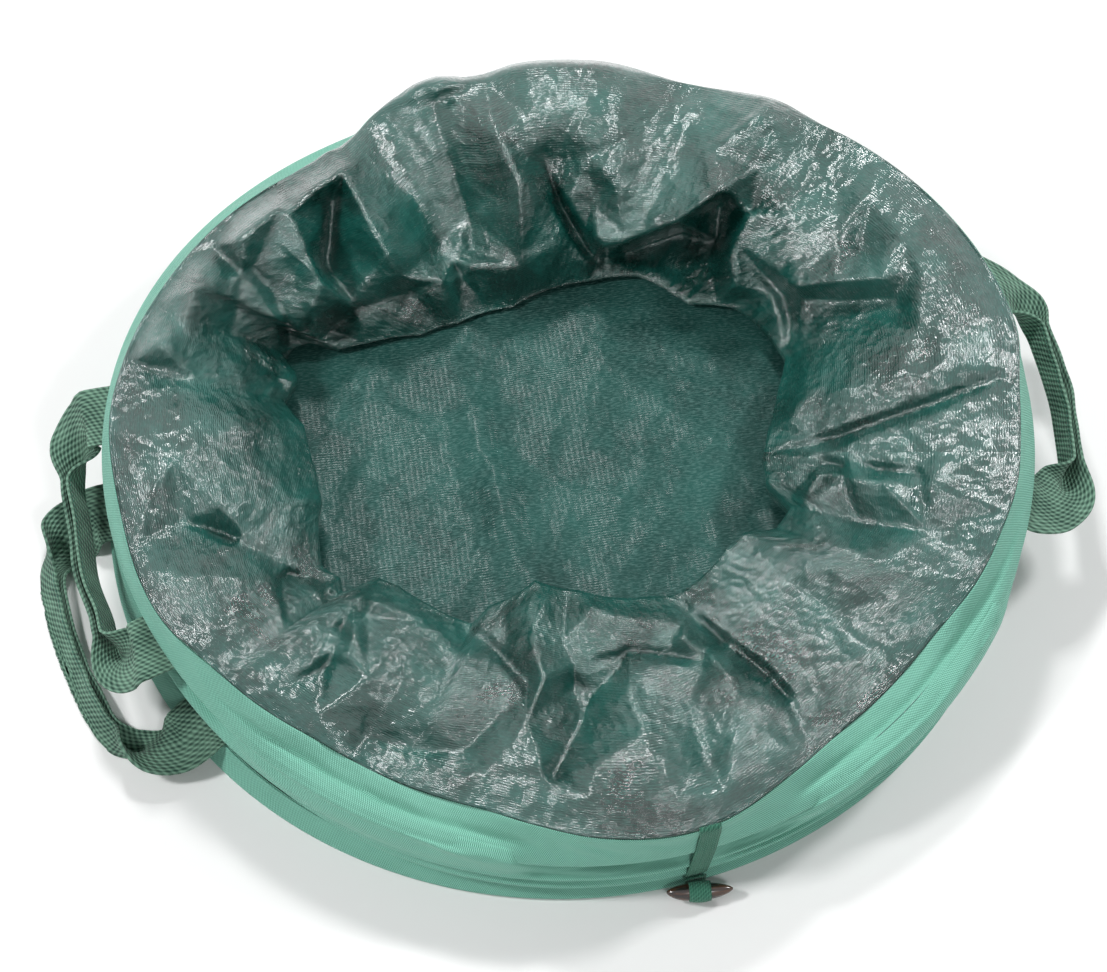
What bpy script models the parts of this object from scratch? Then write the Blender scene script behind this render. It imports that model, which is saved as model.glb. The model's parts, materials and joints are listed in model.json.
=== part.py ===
"""Pop-up leaf bag, stowed flat: a cloth tube on a steel coil between a rim hoop and a base hoop.

Metres, +Z up, origin on the ground under the middle of the base. The two rim handles face -X and +X,
the toggles that hold the bag down face -Y and +Y, and the tipping handle is low at -X.
Run it with blender --background --python part.py, or from Blender's text editor.
"""

import math

import bmesh
import bpy
from mathutils import Matrix, Vector

# The whole bag
BAG_RADIUS = 0.2815  # to the outside of the rim and base casings
RIM_HEIGHT = 0.062  # rim hoop above the ground, on average, when stowed
RIM_SADDLE = 0.014  # how far the toggles pull the rim down at +-Y and let it rise at +-X
RING_STEPS = 48  # facets around every ring, shared so that nested rings stay parallel
GAP = 0.0003  # between pieces that touch
MILLIMETRES = 1000  # in a metre, for what is printed

# Spring steel
WIRE_DIAMETER = 0.0025
WIRE_CLEARANCE = 0.00035
FERRULE_WALL = 0.0005
FERRULE_LENGTH = 0.030
COIL_TURNS = 2
COIL_START_STEP = 8  # ring step where the coil begins
COIL_START_HEIGHT = 0.0205
COIL_PITCH = 0.013
END_CAP_WALL = 0.0006
END_CAP_LENGTH = 0.012

# Cloth
CLOTH = 0.0005  # oxford cloth of the casings and sleeves
TAIL_SPACE = 0.0004  # between the two tails of a folded casing
RIM_BAND = 0.022  # rim hoop to the stitched seam above it
SEAM_INSET = 0.0125  # from the outside of the casings in to the rim seam
BASE_BAND = 0.0120
SLEEVE_BAND = 0.0064
FOLD_FACETS = 6  # facets of the cloth around a wire
WALL_INSET = 0.0090  # from the outside of the casings in to the wall
WALL_THICKNESS = 0.0008
WALL_TOP_ABOVE_HOOP = 0.004
PANEL_THICKNESS = 0.0012

# Liner bunched up inside the rim: a low lip round the mouth, a flank, and a crest that leans over the seam
MOUTH_HALF_LENGTH = 0.1725
MOUTH_HALF_WIDTH = 0.145
MOUTH_TURN = math.radians(-8.5)
MOUTH_SHIFT = Vector((-0.012, 0.022, 0))  # the heap lies deepest at the front right
BUNCH_FLOOR = 0.011
LIP_OVER_FLOOR = 0.026
LIP_FALL_SHARE = 0.84  # how much lower the lip is at the back, and higher at the front
CREST_OVER_SEAM = 0.0155
CREST_SADDLE = 0.0105  # evens out the rim's own saddle
CREST_LEAN = 0.014  # how much higher the crest is at the back, and lower at the front
FLANK_SHARES = (
    # across from the mouth to the seam, and up from the lip to the crest
    (0.00, 0.00),
    (0.08, 0.32),
    (0.20, 0.50),
    (0.35, 0.68),
    (0.50, 0.81),
    (0.65, 0.92),
    (0.82, 1.00),
    (0.94, 0.98),
    (1.00, 0.90),
)
UNDERSIDE_SHARES = (
    # across from the mouth to the seam, and up from the floor to the lip
    (1.00, 0.50),
    (0.90, 0.08),
    (0.60, 0.00),
    (0.15, 0.00),
    (0.03, 0.35),
)
CREASES = (
    # direction, half its width, and its depth at the crest as a share of the rim's height
    (math.radians(30), math.radians(12), 0.22),
    (math.radians(58), math.radians(14), -0.08),
    (math.radians(121), math.radians(9), 0.12),
    (math.radians(137), math.radians(8), -0.10),
    (math.radians(152), math.radians(11), 0.24),
    (math.radians(238), math.radians(13), 0.22),
    (math.radians(262), math.radians(11), -0.12),
    (math.radians(302), math.radians(13), 0.22),
)

# Webbing handles
WEBBING_WIDTH = 0.040
WEBBING_THICKNESS = 0.0016
HANDLE_SPACING = 0.168  # between the middles of a handle's two ends
HINGE_INSET = 0.0043  # from the outside of the casings in to the line that a handle swings on
HINGE_SPACE = 0.0002  # from that line to the webbing on each side
TAB_ROOT_INSET = 0.0040  # how far the ends reach in under the rim hoop
TAB_DROP_LENGTH = 0.008  # stretch of each end that is bent down beside the hinge line
GRIP_WIDTH = 0.022
GRIP_THICKNESS = 0.0032
GRIP_CORNER = 0.045
GRIP_CORNER_FACETS = 6
GRIP_FACETS = 6

# Toggles and their tapes
TAPE_WIDTH = 0.0125
TAPE_THICKNESS = 0.0010
TOGGLE_LENGTH = 0.038
TOGGLE_RADIUS = 0.0050
TOGGLE_BOW = 0.0016
TOGGLE_HEIGHT = 0.0092
TOGGLE_YAW = math.radians(-12)
TOGGLE_RADIUS_SHARES = (0.35, 0.62, 0.80, 0.93, 1.00, 0.93, 0.80, 0.62, 0.35)
LOOP_END_HEIGHT = 0.0185
LOOP_LIFT = math.radians(45)  # where the rim's tape meets the roll of the casing
LOOP_ROUND_SHARES = (1, 0.45, 0)
LOOP_DROP_SHARES = (0.66, 0.33, 0)
WRAP_FACETS = 12
WRAP_OPENING = math.radians(40)  # left open in the wrap, beside its tether

SEAM_RADIUS = BAG_RADIUS - SEAM_INSET
WALL_RADIUS = BAG_RADIUS - WALL_INSET
HINGE_DISTANCE = BAG_RADIUS - HINGE_INSET
WIRE_RADIUS = WIRE_DIAMETER / 2
HOOP_BORE = WIRE_RADIUS + WIRE_CLEARANCE + FERRULE_WALL + WIRE_CLEARANCE
SLEEVE_BORE = WIRE_RADIUS + WIRE_CLEARANCE
HOOP_RADIUS = BAG_RADIUS - CLOTH - HOOP_BORE
COIL_RADIUS = BAG_RADIUS - CLOTH - SLEEVE_BORE
BASE_HOOP_HEIGHT = CLOTH + HOOP_BORE
TAIL_OFFSET = (TAIL_SPACE + CLOTH) / 2  # middle of the pair of tails to the middle of one
TAIL_RADIUS = WALL_RADIUS + GAP + CLOTH / 2 + TAIL_OFFSET
TAU = 2 * math.pi

RIM_HANDLES = {"left_handle": math.radians(187), "right_handle": math.radians(-2.5)}
TIP_HANDLE = {"tip_handle": math.radians(194.75)}
HANDLE_DROOPS = {
    "left_handle": math.radians(55),
    "right_handle": math.radians(23),
    "tip_handle": math.radians(15.5),
}
HANDLE_REACHES = {"left_handle": 0.0310, "right_handle": 0.0370, "tip_handle": 0.0420}
TOGGLES = {"front": math.radians(-82.5), "rear": math.radians(97.5)}

bag = bpy.data.collections.new("pop_up_leaf_bag")


def clear_scene():
    for old in list(bpy.data.objects):
        bpy.data.objects.remove(old, do_unlink=True)
    bpy.context.scene.collection.children.link(bag)


def make_material(name, colour, roughness, metallic=0.0):
    material = bpy.data.materials.new(name)
    material.use_nodes = True
    shader = material.node_tree.nodes["Principled BSDF"]
    shader.inputs["Base Color"].default_value = (*colour, 1.0)
    shader.inputs["Roughness"].default_value = roughness
    shader.inputs["Metallic"].default_value = metallic
    return material


def add_object(name, data, material, parent=None):
    piece = bpy.data.objects.new(name, data)
    data.materials.append(material)
    bag.objects.link(piece)
    if parent is not None:
        piece.parent = parent
        piece.matrix_parent_inverse = parent.matrix_world.inverted()
    return piece


def add_pivot(name, place, parent=None):
    """An empty on a joint's axis, which the moving pieces are parented to."""
    pivot = bpy.data.objects.new(name, None)
    bag.objects.link(pivot)
    pivot.matrix_world = Matrix.Translation(place)
    if parent is not None:
        pivot.parent = parent
        pivot.matrix_parent_inverse = parent.matrix_world.inverted()
    bpy.context.view_layer.update()
    return pivot


def rise(angle):
    """How much taller the stowed stack is at this angle than on average, as a factor."""
    return 1 + RIM_SADDLE / RIM_HEIGHT * math.cos(2 * angle)


def rim_hoop_height(angle):
    return RIM_HEIGHT * rise(angle)


def base_tail_height(angle):
    return BASE_HOOP_HEIGHT + BASE_BAND * rise(angle)


def at(angle, radius, height):
    return Vector((radius * math.cos(angle), radius * math.sin(angle), height))


def grid_mesh(name, rows, close_rows=False, close_columns=False):
    """A surface through rows of points, with its faces' normals made to agree."""
    mesh = bmesh.new()
    corners = [[mesh.verts.new(point) for point in row] for row in rows]
    row_count = len(corners)
    column_count = len(corners[0])
    for i in range(row_count if close_rows else row_count - 1):
        here, there = corners[i], corners[(i + 1) % row_count]
        for j in range(column_count if close_columns else column_count - 1):
            k = (j + 1) % column_count
            mesh.faces.new((here[j], there[j], there[k], here[k]))
    bmesh.ops.recalc_face_normals(mesh, faces=mesh.faces)
    data = bpy.data.meshes.new(name)
    mesh.to_mesh(data)
    mesh.free()
    data.shade_smooth()
    data.set_sharp_from_angle(angle=math.radians(40))
    return data


def add_sheet(name, rows, thickness, material, parent=None, close_rows=False):
    """Cloth or webbing: an open surface with its thickness shared to both sides."""
    piece = add_object(name, grid_mesh(name, rows, close_rows), material, parent)
    solidify = piece.modifiers.new("thickness", "SOLIDIFY")
    solidify.thickness = thickness
    solidify.offset = 0
    return piece


def add_wire(name, points, radius, material, parent=None, closed=False, facets=1, radii=None):
    curve = bpy.data.curves.new(name, "CURVE")
    curve.dimensions = "3D"
    curve.bevel_depth = radius
    curve.bevel_resolution = facets
    curve.use_fill_caps = not closed
    spline = curve.splines.new("POLY")
    spline.points.add(len(points) - 1)
    for i, (target, point) in enumerate(zip(spline.points, points)):
        target.co = (*point, 1)
        target.radius = radii[i] if radii else 1
    spline.use_cyclic_u = closed
    spline.use_smooth = True
    return add_object(name, curve, material, parent)


def folded_section(wire, tail, bore):
    """Middle line of a strip folded round a wire, from tail to tail, as radius and height."""
    reach = tail - wire
    away = math.atan2(reach.y, reach.x)
    around = bore + CLOTH / 2
    lean = math.acos((around - TAIL_OFFSET) / reach.length)
    side = Vector((-reach.y, reach.x)).normalized() * TAIL_OFFSET
    first, last = away - lean, away - TAU + lean
    arc = []
    for i in range(FOLD_FACETS + 1):
        angle = first + (last - first) * i / FOLD_FACETS
        arc.append(wire + around * Vector((math.cos(angle), math.sin(angle))))
    return [tail - side, *arc, tail + side]


def ring_angles():
    return [TAU * i / RING_STEPS for i in range(RING_STEPS)]


def add_hoop(name, height_at, steel, ferrule_steel, parent, ferrule_step):
    """A closed wire ring and the crimped ferrule that joins its ends."""
    points = [at(angle, HOOP_RADIUS, height_at(angle)) for angle in ring_angles()]
    add_wire(name, points, WIRE_RADIUS, steel, parent, closed=True)
    crimp = Vector(points[ferrule_step] + points[ferrule_step + 1]) / 2
    along = Vector(points[ferrule_step + 1] - points[ferrule_step]).normalized()
    half = min(FERRULE_LENGTH, (points[0] - points[1]).length - WIRE_DIAMETER) / 2
    across = Vector((0, 0, 1)).cross(along).normalized()
    up = along.cross(across)
    bore = WIRE_RADIUS + WIRE_CLEARANCE
    rows = []
    for i in range(WRAP_FACETS):
        angle = TAU * i / WRAP_FACETS
        spoke = math.cos(angle) * across + math.sin(angle) * up
        outer, inner = (bore + FERRULE_WALL) * spoke, bore * spoke
        near, far = crimp - half * along, crimp + half * along
        rows.append([near + inner, near + outer, far + outer, far + inner])
    mesh = grid_mesh(name + "_ferrule", rows, close_rows=True, close_columns=True)
    add_object(name + "_ferrule", mesh, ferrule_steel, parent)


def add_casing(name, wire_radius, height_at, tail_at, bore, material, parent):
    rows = []
    for angle in ring_angles():
        wire = Vector((wire_radius, height_at(angle)))
        section = folded_section(wire, tail_at(angle), bore)
        rows.append([at(angle, point.x, point.y) for point in section])
    return add_sheet(name, rows, CLOTH, material, parent, close_rows=True)


def coil_height(step):
    turn = (step - COIL_START_STEP) / RING_STEPS
    return (COIL_START_HEIGHT + COIL_PITCH * turn) * rise(TAU * step / RING_STEPS)


def coil_point(step):
    return at(TAU * step / RING_STEPS, COIL_RADIUS, coil_height(step))


def add_coil(steel, plastic):
    """The spring's free turns, with a cap on each end."""
    last = COIL_START_STEP + COIL_TURNS * RING_STEPS
    points = [coil_point(step) for step in range(COIL_START_STEP, last + 1)]
    add_wire("coil_spring", points, WIRE_RADIUS, steel)
    apart = min((a - b).length for a, b in zip(points, points[RING_STEPS:])) - WIRE_DIAMETER
    print(f"coil: {COIL_TURNS} turns, least gap between turns {apart * MILLIMETRES:.1f} mm")
    ends = (("lower_end_cap", points[0], points[1]), ("upper_end_cap", points[-1], points[-2]))
    for name, end, beyond in ends:
        out = (end - beyond).normalized()
        start = end + out * GAP
        add_wire(name, [start, start + out * END_CAP_LENGTH], WIRE_RADIUS + END_CAP_WALL, plastic, facets=2)


def add_sleeves(cloth):
    """The strip that holds the coil to the wall, one node for each turn, a facet apart."""
    for turn, name in enumerate(("lower_sleeve", "upper_sleeve")):
        first = COIL_START_STEP + turn * RING_STEPS
        rows = []
        for step in range(first, first + RING_STEPS):
            angle = TAU * step / RING_STEPS
            wire = Vector((COIL_RADIUS, coil_height(step)))
            tail = Vector((TAIL_RADIUS, wire.y + SLEEVE_BAND * rise(angle)))
            section = folded_section(wire, tail, SLEEVE_BORE)
            rows.append([at(angle, point.x, point.y) for point in section])
        add_sheet(name, rows, CLOTH, cloth)


def add_wall(liner):
    middle = WALL_RADIUS - WALL_THICKNESS / 2
    rows = []
    for angle in ring_angles():
        top = rim_hoop_height(angle) + WALL_TOP_ABOVE_HOOP
        rows.append([at(angle, middle, PANEL_THICKNESS + GAP), at(angle, middle, top)])
    add_sheet("bag_wall", rows, WALL_THICKNESS, liner, close_rows=True)


def add_panel(liner):
    mesh = bmesh.new()
    radius = WALL_RADIUS + GAP
    bmesh.ops.create_cone(
        mesh, cap_ends=True, segments=RING_STEPS, radius1=radius, radius2=radius, depth=PANEL_THICKNESS
    )
    data = bpy.data.meshes.new("base_panel")
    mesh.to_mesh(data)
    mesh.free()
    add_object("base_panel", data, liner).location.z = PANEL_THICKNESS / 2


def mouth_radius(angle):
    """From the bag's axis to the mouth, an ellipse that lies off the axis and across the toggles."""
    turn = Matrix.Rotation(-MOUTH_TURN, 3, "Z")
    ray = turn @ at(angle, 1, 0)
    start = turn @ -MOUTH_SHIFT
    squash = Vector((1 / MOUTH_HALF_LENGTH, 1 / MOUTH_HALF_WIDTH, 0))
    ray, start = ray * squash, start * squash
    across = ray.dot(start)
    return (math.sqrt(across * across + ray.dot(ray) * (1 - start.dot(start))) - across) / ray.dot(ray)


def crease_depth(angle):
    """Sum of the creases' bells at this direction, below the plain crest."""
    depth = 0
    for direction, half_width, share in CREASES:
        away = (angle - direction + TAU / 2) % TAU - TAU / 2
        depth += share * RIM_HEIGHT * math.exp(-((away / half_width) ** 2))
    return depth


def add_bunch(liner, parent):
    outer = SEAM_RADIUS - TAIL_OFFSET - CLOTH / 2 - GAP
    rows = []
    for angle in ring_angles():
        inner = mouth_radius(angle)
        lip = LIP_OVER_FLOOR * (1 - LIP_FALL_SHARE * math.sin(angle))
        crest = rim_hoop_height(angle) + RIM_BAND + CREST_OVER_SEAM - BUNCH_FLOOR
        crest += CREST_LEAN * math.sin(angle) - CREST_SADDLE * math.cos(2 * angle) - crease_depth(angle)
        section = [(across, lip + (crest - lip) * up) for across, up in FLANK_SHARES]
        section += [(across, lip * up) for across, up in UNDERSIDE_SHARES]
        width = outer - inner
        rows.append([at(angle, inner + width * across, BUNCH_FLOOR + up) for across, up in section])
    mesh = grid_mesh("bunched_liner", rows, close_rows=True, close_columns=True)
    add_object("bunched_liner", mesh, liner, parent)


class HandleFrame:
    """Axes of one handle: the chord it swings on, the way it hangs from there, and its normal."""

    def __init__(self, angle, droop, ends_height):
        self.angle = angle
        self.level_out = Vector((math.cos(angle), math.sin(angle), 0))
        self.along = Vector((-math.sin(angle), math.cos(angle), 0))
        up = Vector((0, 0, 1))
        self.out = self.level_out * math.cos(droop) - up * math.sin(droop)
        self.normal = self.level_out * math.sin(droop) + up * math.cos(droop)
        height = ends_height - TAB_DROP_LENGTH * math.sin(droop)
        self.hinge = self.level_out * HINGE_DISTANCE + up * height

    def point(self, out, along, thickness):
        """A place in the middle of webbing whose upper face holds the hinge line."""
        return self.hinge + self.out * out + self.along * along - self.normal * thickness / 2


def add_tab(name, frame, side, root_radii, root_height, webbing, parent):
    """One end of a handle: flat webbing out of the casing, bent down to the line it swings on."""
    middle = side * HANDLE_SPACING / 2
    slant = math.atan2(middle, HINGE_DISTANCE)
    shares = (-0.5, -1 / 6, 1 / 6, 0.5)
    rows = []
    for radius in root_radii:
        angles = [frame.angle + slant + share * WEBBING_WIDTH / radius for share in shares]
        rows.append([at(angle, radius, root_height(angle)) for angle in angles])
    for out in (-TAB_DROP_LENGTH, -HINGE_SPACE):
        rows.append([frame.point(out, middle + share * WEBBING_WIDTH, WEBBING_THICKNESS) for share in shares])
    add_sheet(name, rows, WEBBING_THICKNESS, webbing, parent)


def grip_path(reach):
    """Middle line of the strap as outward, along and width: out, round a corner, and along."""
    half = HANDLE_SPACING / 2
    places = [(HINGE_SPACE, -half, WEBBING_WIDTH)]
    for i in range(1, GRIP_CORNER_FACETS + 1):
        angle = math.pi / 2 * i / GRIP_CORNER_FACETS
        narrowed = WEBBING_WIDTH + (GRIP_WIDTH - WEBBING_WIDTH) * math.sin(angle)
        out = HINGE_SPACE + (reach - HINGE_SPACE) * math.sin(angle)
        places.append((out, -half + GRIP_CORNER * (1 - math.cos(angle)), narrowed))
    straight = 2 * (half - GRIP_CORNER)
    for i in range(1, GRIP_FACETS):
        places.append((reach, -straight / 2 + straight * i / GRIP_FACETS, GRIP_WIDTH))
    mirrored = [(out, -along, width) for out, along, width in places[:GRIP_CORNER_FACETS + 1]]
    return places + mirrored[::-1]


def add_handle(name, angle, root_radii, root_height, webbing, parent):
    ends = [angle + side * math.atan2(HANDLE_SPACING / 2, HINGE_DISTANCE) for side in (-1, 1)]
    frame = HandleFrame(angle, HANDLE_DROOPS[name], sum(root_height(end) for end in ends) / 2)
    for side, where in ((-1, "first"), (1, "second")):
        add_tab(f"{name}_{where}_end", frame, side, root_radii, root_height, webbing, parent)
    pivot = add_pivot(name + "_pivot", frame.hinge, parent)
    places = grip_path(HANDLE_REACHES[name])
    middles = [frame.point(out, along, GRIP_THICKNESS) for out, along, width in places]
    rows = []
    for i, (out, along, width) in enumerate(places):
        before, after = middles[max(i - 1, 0)], middles[min(i + 1, len(middles) - 1)]
        run = (after - before).normalized()
        if i in (0, len(places) - 1):
            run = frame.out if i == 0 else -frame.out
        across = frame.normal.cross(run).normalized()
        rows.append([middles[i] + across * width * share for share in (-0.5, 0, 0.5)])
    add_sheet(name, rows, GRIP_THICKNESS, webbing, pivot)
    print(name, "hinge at", [round(v, 5) for v in frame.hinge], "along", [round(v, 5) for v in frame.along])


def add_toggle(where, angle, horn, tape, rim):
    """A horn toggle on a short tape from the base, and the rim's tape that hooks under it."""
    out = Vector((math.cos(angle), math.sin(angle), 0))
    along = Vector((-math.sin(angle), math.cos(angle), 0))
    up = Vector((0, 0, 1))
    wrap_bore = TOGGLE_RADIUS + GAP
    wrap_reach = wrap_bore + TAPE_THICKNESS
    tether_root = BAG_RADIUS + GAP
    tether_end = tether_root + TAPE_THICKNESS
    half = TAPE_WIDTH / 2
    slant_room = half * abs(math.sin(TOGGLE_YAW))
    centre = out * (tether_end + GAP + wrap_reach + slant_room) + up * TOGGLE_HEIGHT

    rows = []
    for height in (BASE_HOOP_HEIGHT, TOGGLE_HEIGHT, TOGGLE_HEIGHT + half / 2):
        place = out * (tether_root + TAPE_THICKNESS / 2) + up * height
        rows.append([place - along * half, place + along * half])
    add_sheet(f"{where}_tether", rows, TAPE_THICKNESS, tape)

    pivot = add_pivot(f"{where}_toggle_pivot", centre)
    lie = Matrix.Rotation(TOGGLE_YAW, 3, "Z")
    axis = lie @ along
    count = len(TOGGLE_RADIUS_SHARES)
    points = []
    for i in range(count):
        share = i / (count - 1) * 2 - 1
        points.append(centre + axis * share * TOGGLE_LENGTH / 2 + up * TOGGLE_BOW * share * share)
    add_wire(f"{where}_toggle", points, TOGGLE_RADIUS, horn, pivot, facets=3, radii=TOGGLE_RADIUS_SHARES)

    spoke_out = axis.cross(up)
    rows = []
    for i in range(WRAP_FACETS + 1):
        turn = WRAP_OPENING / 2 + (TAU - WRAP_OPENING) * i / WRAP_FACETS
        spoke = -spoke_out * math.cos(turn) + up * math.sin(turn)
        middle = centre + spoke * (wrap_bore + TAPE_THICKNESS / 2)
        rows.append([middle - axis * half, middle + axis * half])
    add_sheet(f"{where}_wrap", rows, TAPE_THICKNESS, tape, pivot)

    hoop_height = rim_hoop_height(angle)
    off = CLOTH + HOOP_BORE + GAP + TAPE_THICKNESS / 2
    route = [(SEAM_RADIUS + TAIL_OFFSET + CLOTH / 2 + GAP + TAPE_THICKNESS, hoop_height + RIM_BAND)]
    for share in LOOP_ROUND_SHARES:
        turn = LOOP_LIFT * share
        route.append((HOOP_RADIUS + off * math.cos(turn), hoop_height + off * math.sin(turn)))
    for share in LOOP_DROP_SHARES:
        route.append((HOOP_RADIUS + off, LOOP_END_HEIGHT + (hoop_height - LOOP_END_HEIGHT) * share))
    rows = []
    for radius, height in route:
        rows.append([out * radius + up * height + along * side * half for side in (-1, 1)])
    add_sheet(f"{where}_loop", rows, TAPE_THICKNESS, tape, rim)


def build():
    clear_scene()
    steel = make_material("spring_steel", (0.32, 0.33, 0.34), 0.35, 1.0)
    crimp = make_material("crimped_ferrule", (0.55, 0.56, 0.57), 0.45, 1.0)
    cap = make_material("end_cap_plastic", (0.02, 0.02, 0.02), 0.5)
    oxford = make_material("oxford_cloth", (0.055, 0.19, 0.15), 0.75)
    liner = make_material("laminated_liner", (0.02, 0.09, 0.075), 0.4)
    webbing = make_material("webbing", (0.05, 0.095, 0.08), 0.85)
    horn = make_material("toggle_horn", (0.018, 0.011, 0.008), 0.3)
    tape = make_material("tape", (0.055, 0.12, 0.1), 0.8)

    rim = add_pivot("rim_slide", (0, 0, 0))
    add_panel(liner)
    add_hoop("base_hoop", lambda angle: BASE_HOOP_HEIGHT, steel, crimp, None, 3)
    add_hoop("rim_hoop", rim_hoop_height, steel, crimp, rim, 27)
    add_casing(
        "base_casing",
        HOOP_RADIUS,
        lambda angle: BASE_HOOP_HEIGHT,
        lambda angle: Vector((TAIL_RADIUS, base_tail_height(angle))),
        HOOP_BORE,
        oxford,
        None,
    )
    add_casing(
        "rim_casing",
        HOOP_RADIUS,
        rim_hoop_height,
        lambda angle: Vector((SEAM_RADIUS, rim_hoop_height(angle) + RIM_BAND)),
        HOOP_BORE,
        oxford,
        rim,
    )
    add_coil(steel, cap)
    add_sleeves(oxford)
    add_wall(liner)
    add_bunch(liner, rim)

    under_rim = HOOP_BORE + CLOTH + GAP + WEBBING_THICKNESS / 2
    over_base = CLOTH / 2 + GAP + WEBBING_THICKNESS / 2
    under_hoop = (HOOP_RADIUS - TAB_ROOT_INSET, HOOP_RADIUS)
    over_tails = (TAIL_RADIUS - TAIL_OFFSET, TAIL_RADIUS + TAB_ROOT_INSET)
    for name, angle in RIM_HANDLES.items():
        add_handle(name, angle, under_hoop, lambda a: rim_hoop_height(a) - under_rim, webbing, rim)
    for name, angle in TIP_HANDLE.items():
        add_handle(name, angle, over_tails, lambda a: base_tail_height(a) + over_base, webbing, None)
    for where, angle in TOGGLES.items():
        add_toggle(where, angle, horn, tape, rim)


build()
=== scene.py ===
import json
import math

import bpy
import numpy as np
from mathutils import Matrix, Vector, geometry

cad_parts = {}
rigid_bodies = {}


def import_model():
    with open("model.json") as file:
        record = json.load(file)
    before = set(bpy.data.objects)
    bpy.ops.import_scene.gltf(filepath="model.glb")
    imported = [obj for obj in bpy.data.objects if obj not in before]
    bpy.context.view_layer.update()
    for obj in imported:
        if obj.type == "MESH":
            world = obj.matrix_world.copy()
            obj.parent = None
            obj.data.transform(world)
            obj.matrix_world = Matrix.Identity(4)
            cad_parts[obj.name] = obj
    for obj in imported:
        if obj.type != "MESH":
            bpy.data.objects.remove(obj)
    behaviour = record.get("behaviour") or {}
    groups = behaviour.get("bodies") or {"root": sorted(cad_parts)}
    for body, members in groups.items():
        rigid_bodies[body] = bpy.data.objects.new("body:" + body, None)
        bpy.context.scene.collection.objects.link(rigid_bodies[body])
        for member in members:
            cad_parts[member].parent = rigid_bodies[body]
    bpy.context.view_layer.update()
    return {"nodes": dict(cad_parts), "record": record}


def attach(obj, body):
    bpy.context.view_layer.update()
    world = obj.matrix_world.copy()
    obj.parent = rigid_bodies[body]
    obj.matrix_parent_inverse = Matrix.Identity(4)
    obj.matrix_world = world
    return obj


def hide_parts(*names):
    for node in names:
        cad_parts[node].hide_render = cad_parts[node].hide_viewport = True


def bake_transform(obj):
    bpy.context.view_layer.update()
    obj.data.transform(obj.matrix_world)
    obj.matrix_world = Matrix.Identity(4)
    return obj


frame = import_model()
print("frame loaded with", len(frame["nodes"]), "nodes")

# The photograph was taken from the toggle side, a little to the left of it.
cameraSettings = {
    "elevation": 57.5,  # degrees
    "azimuth": -98.5,
    "distance": 1.6,  # metres
    "lookAt": (-0.003, 0.0004, 0.0),
    "sensor": 36.0,  # mm
    "focalPixels": 2535.0,
    "imageWidth": 1107,
    "imageHeight": 972,
    "farEnd": 20,  # metres
}

bagSettings = {
    "radius": 0.2815,  # metres, to the outside of both casings
    "rimHeight": 0.062,  # rim hoop above the ground, on average
    "saddle": 0.014,  # the toggles pull the rim down at -Y and +Y
    "wallRadius": 0.2721,
    "hoopRadius": 0.2787,
    "hoopBore": 0.0023,  # wire and ferrule inside the fold
    "wireRadius": 0.00125,
    "tapeAngles": (-82.5, 97.5),  # degrees, where the toggles' tapes cross the casings
    "tapeReach": 3.2,
    "cloth": 0.0005,
    "sag": 0.006,  # the soft stack leans this far to the camera's right at the rim
    "sagStart": 0.004,  # heights between which the lean grows
    "sagEnd": 0.045,
    "linerStep": 0.0008,  # the liner's fold stands this much over the casing's edge
    "blendHeights": (0.003, 0.045),  # heights that part the soft stack between the base below and the rim above; pieces given them are only baked in place
    "seed": 7,
}

rng = np.random.default_rng(bagSettings["seed"])


def turnedAxes():
    # right, up and back of the camera from its azimuth and elevation
    azimuth = math.radians(cameraSettings["azimuth"])
    elevation = math.radians(cameraSettings["elevation"])
    back = np.array([
        math.cos(azimuth) * math.cos(elevation), math.sin(azimuth) * math.cos(elevation), math.sin(elevation)
    ])
    right = np.array([-math.sin(azimuth), math.cos(azimuth), 0.0])
    return right, np.cross(back, right), back


cameraRight, cameraUp, cameraBack = turnedAxes()
cameraPlace = np.array(cameraSettings["lookAt"]) + cameraBack * cameraSettings["distance"]
imageMiddle = np.array([cameraSettings["imageWidth"] / 2, cameraSettings["imageHeight"] / 2])
sagVector = cameraRight * bagSettings["sag"]
sagLift = np.array([0.0, 0.0, bagSettings["linerStep"]])
upward = np.array([0.0, 0.0, 1.0])


def placeOfPixels(pixels, heights):
    # the ray through each pixel meets the level plane at its height
    offset = (pixels - imageMiddle) / cameraSettings["focalPixels"]
    ray = cameraRight * offset[..., :1] - cameraUp * offset[..., 1:2] - cameraBack
    along = (cameraPlace[2] - heights) / -ray[..., 2]
    return cameraPlace + ray * along[..., None]


def pixelsOfPlaces(places):
    # perspective division of the place seen along the camera's axes
    seen = places - cameraPlace
    depth = -(seen @ cameraBack)
    across = seen @ cameraRight / depth * cameraSettings["focalPixels"]
    down = -(seen @ cameraUp) / depth * cameraSettings["focalPixels"]
    return np.stack([across, down], -1) + imageMiddle


def makeCamera():
    # the lens in mm is the focal length in pixels times the sensor's width over the image's width
    data = bpy.data.cameras.new("camera")
    data.sensor_width = cameraSettings["sensor"]
    data.lens = cameraSettings["focalPixels"] * cameraSettings["sensor"] / cameraSettings["imageWidth"]
    data.clip_end = cameraSettings["farEnd"]
    camera = bpy.data.objects.new("camera", data)
    bpy.context.scene.collection.objects.link(camera)
    axes = Matrix([list(cameraRight), list(cameraUp), list(cameraBack)]).transposed()
    camera.matrix_world = Matrix.Translation(Vector(cameraPlace)) @ axes.to_4x4()
    bpy.context.scene.camera = camera


# Curves and heights around the bag

def smoothStep(share):
    # three squares less two cubes: level at 0 and at 1
    return share * share * (3 - 2 * share)


def bell(offset):
    # a Gaussian: one in the middle, and 0.37 where the offset is 1
    return np.exp(-offset ** 2)


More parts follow.
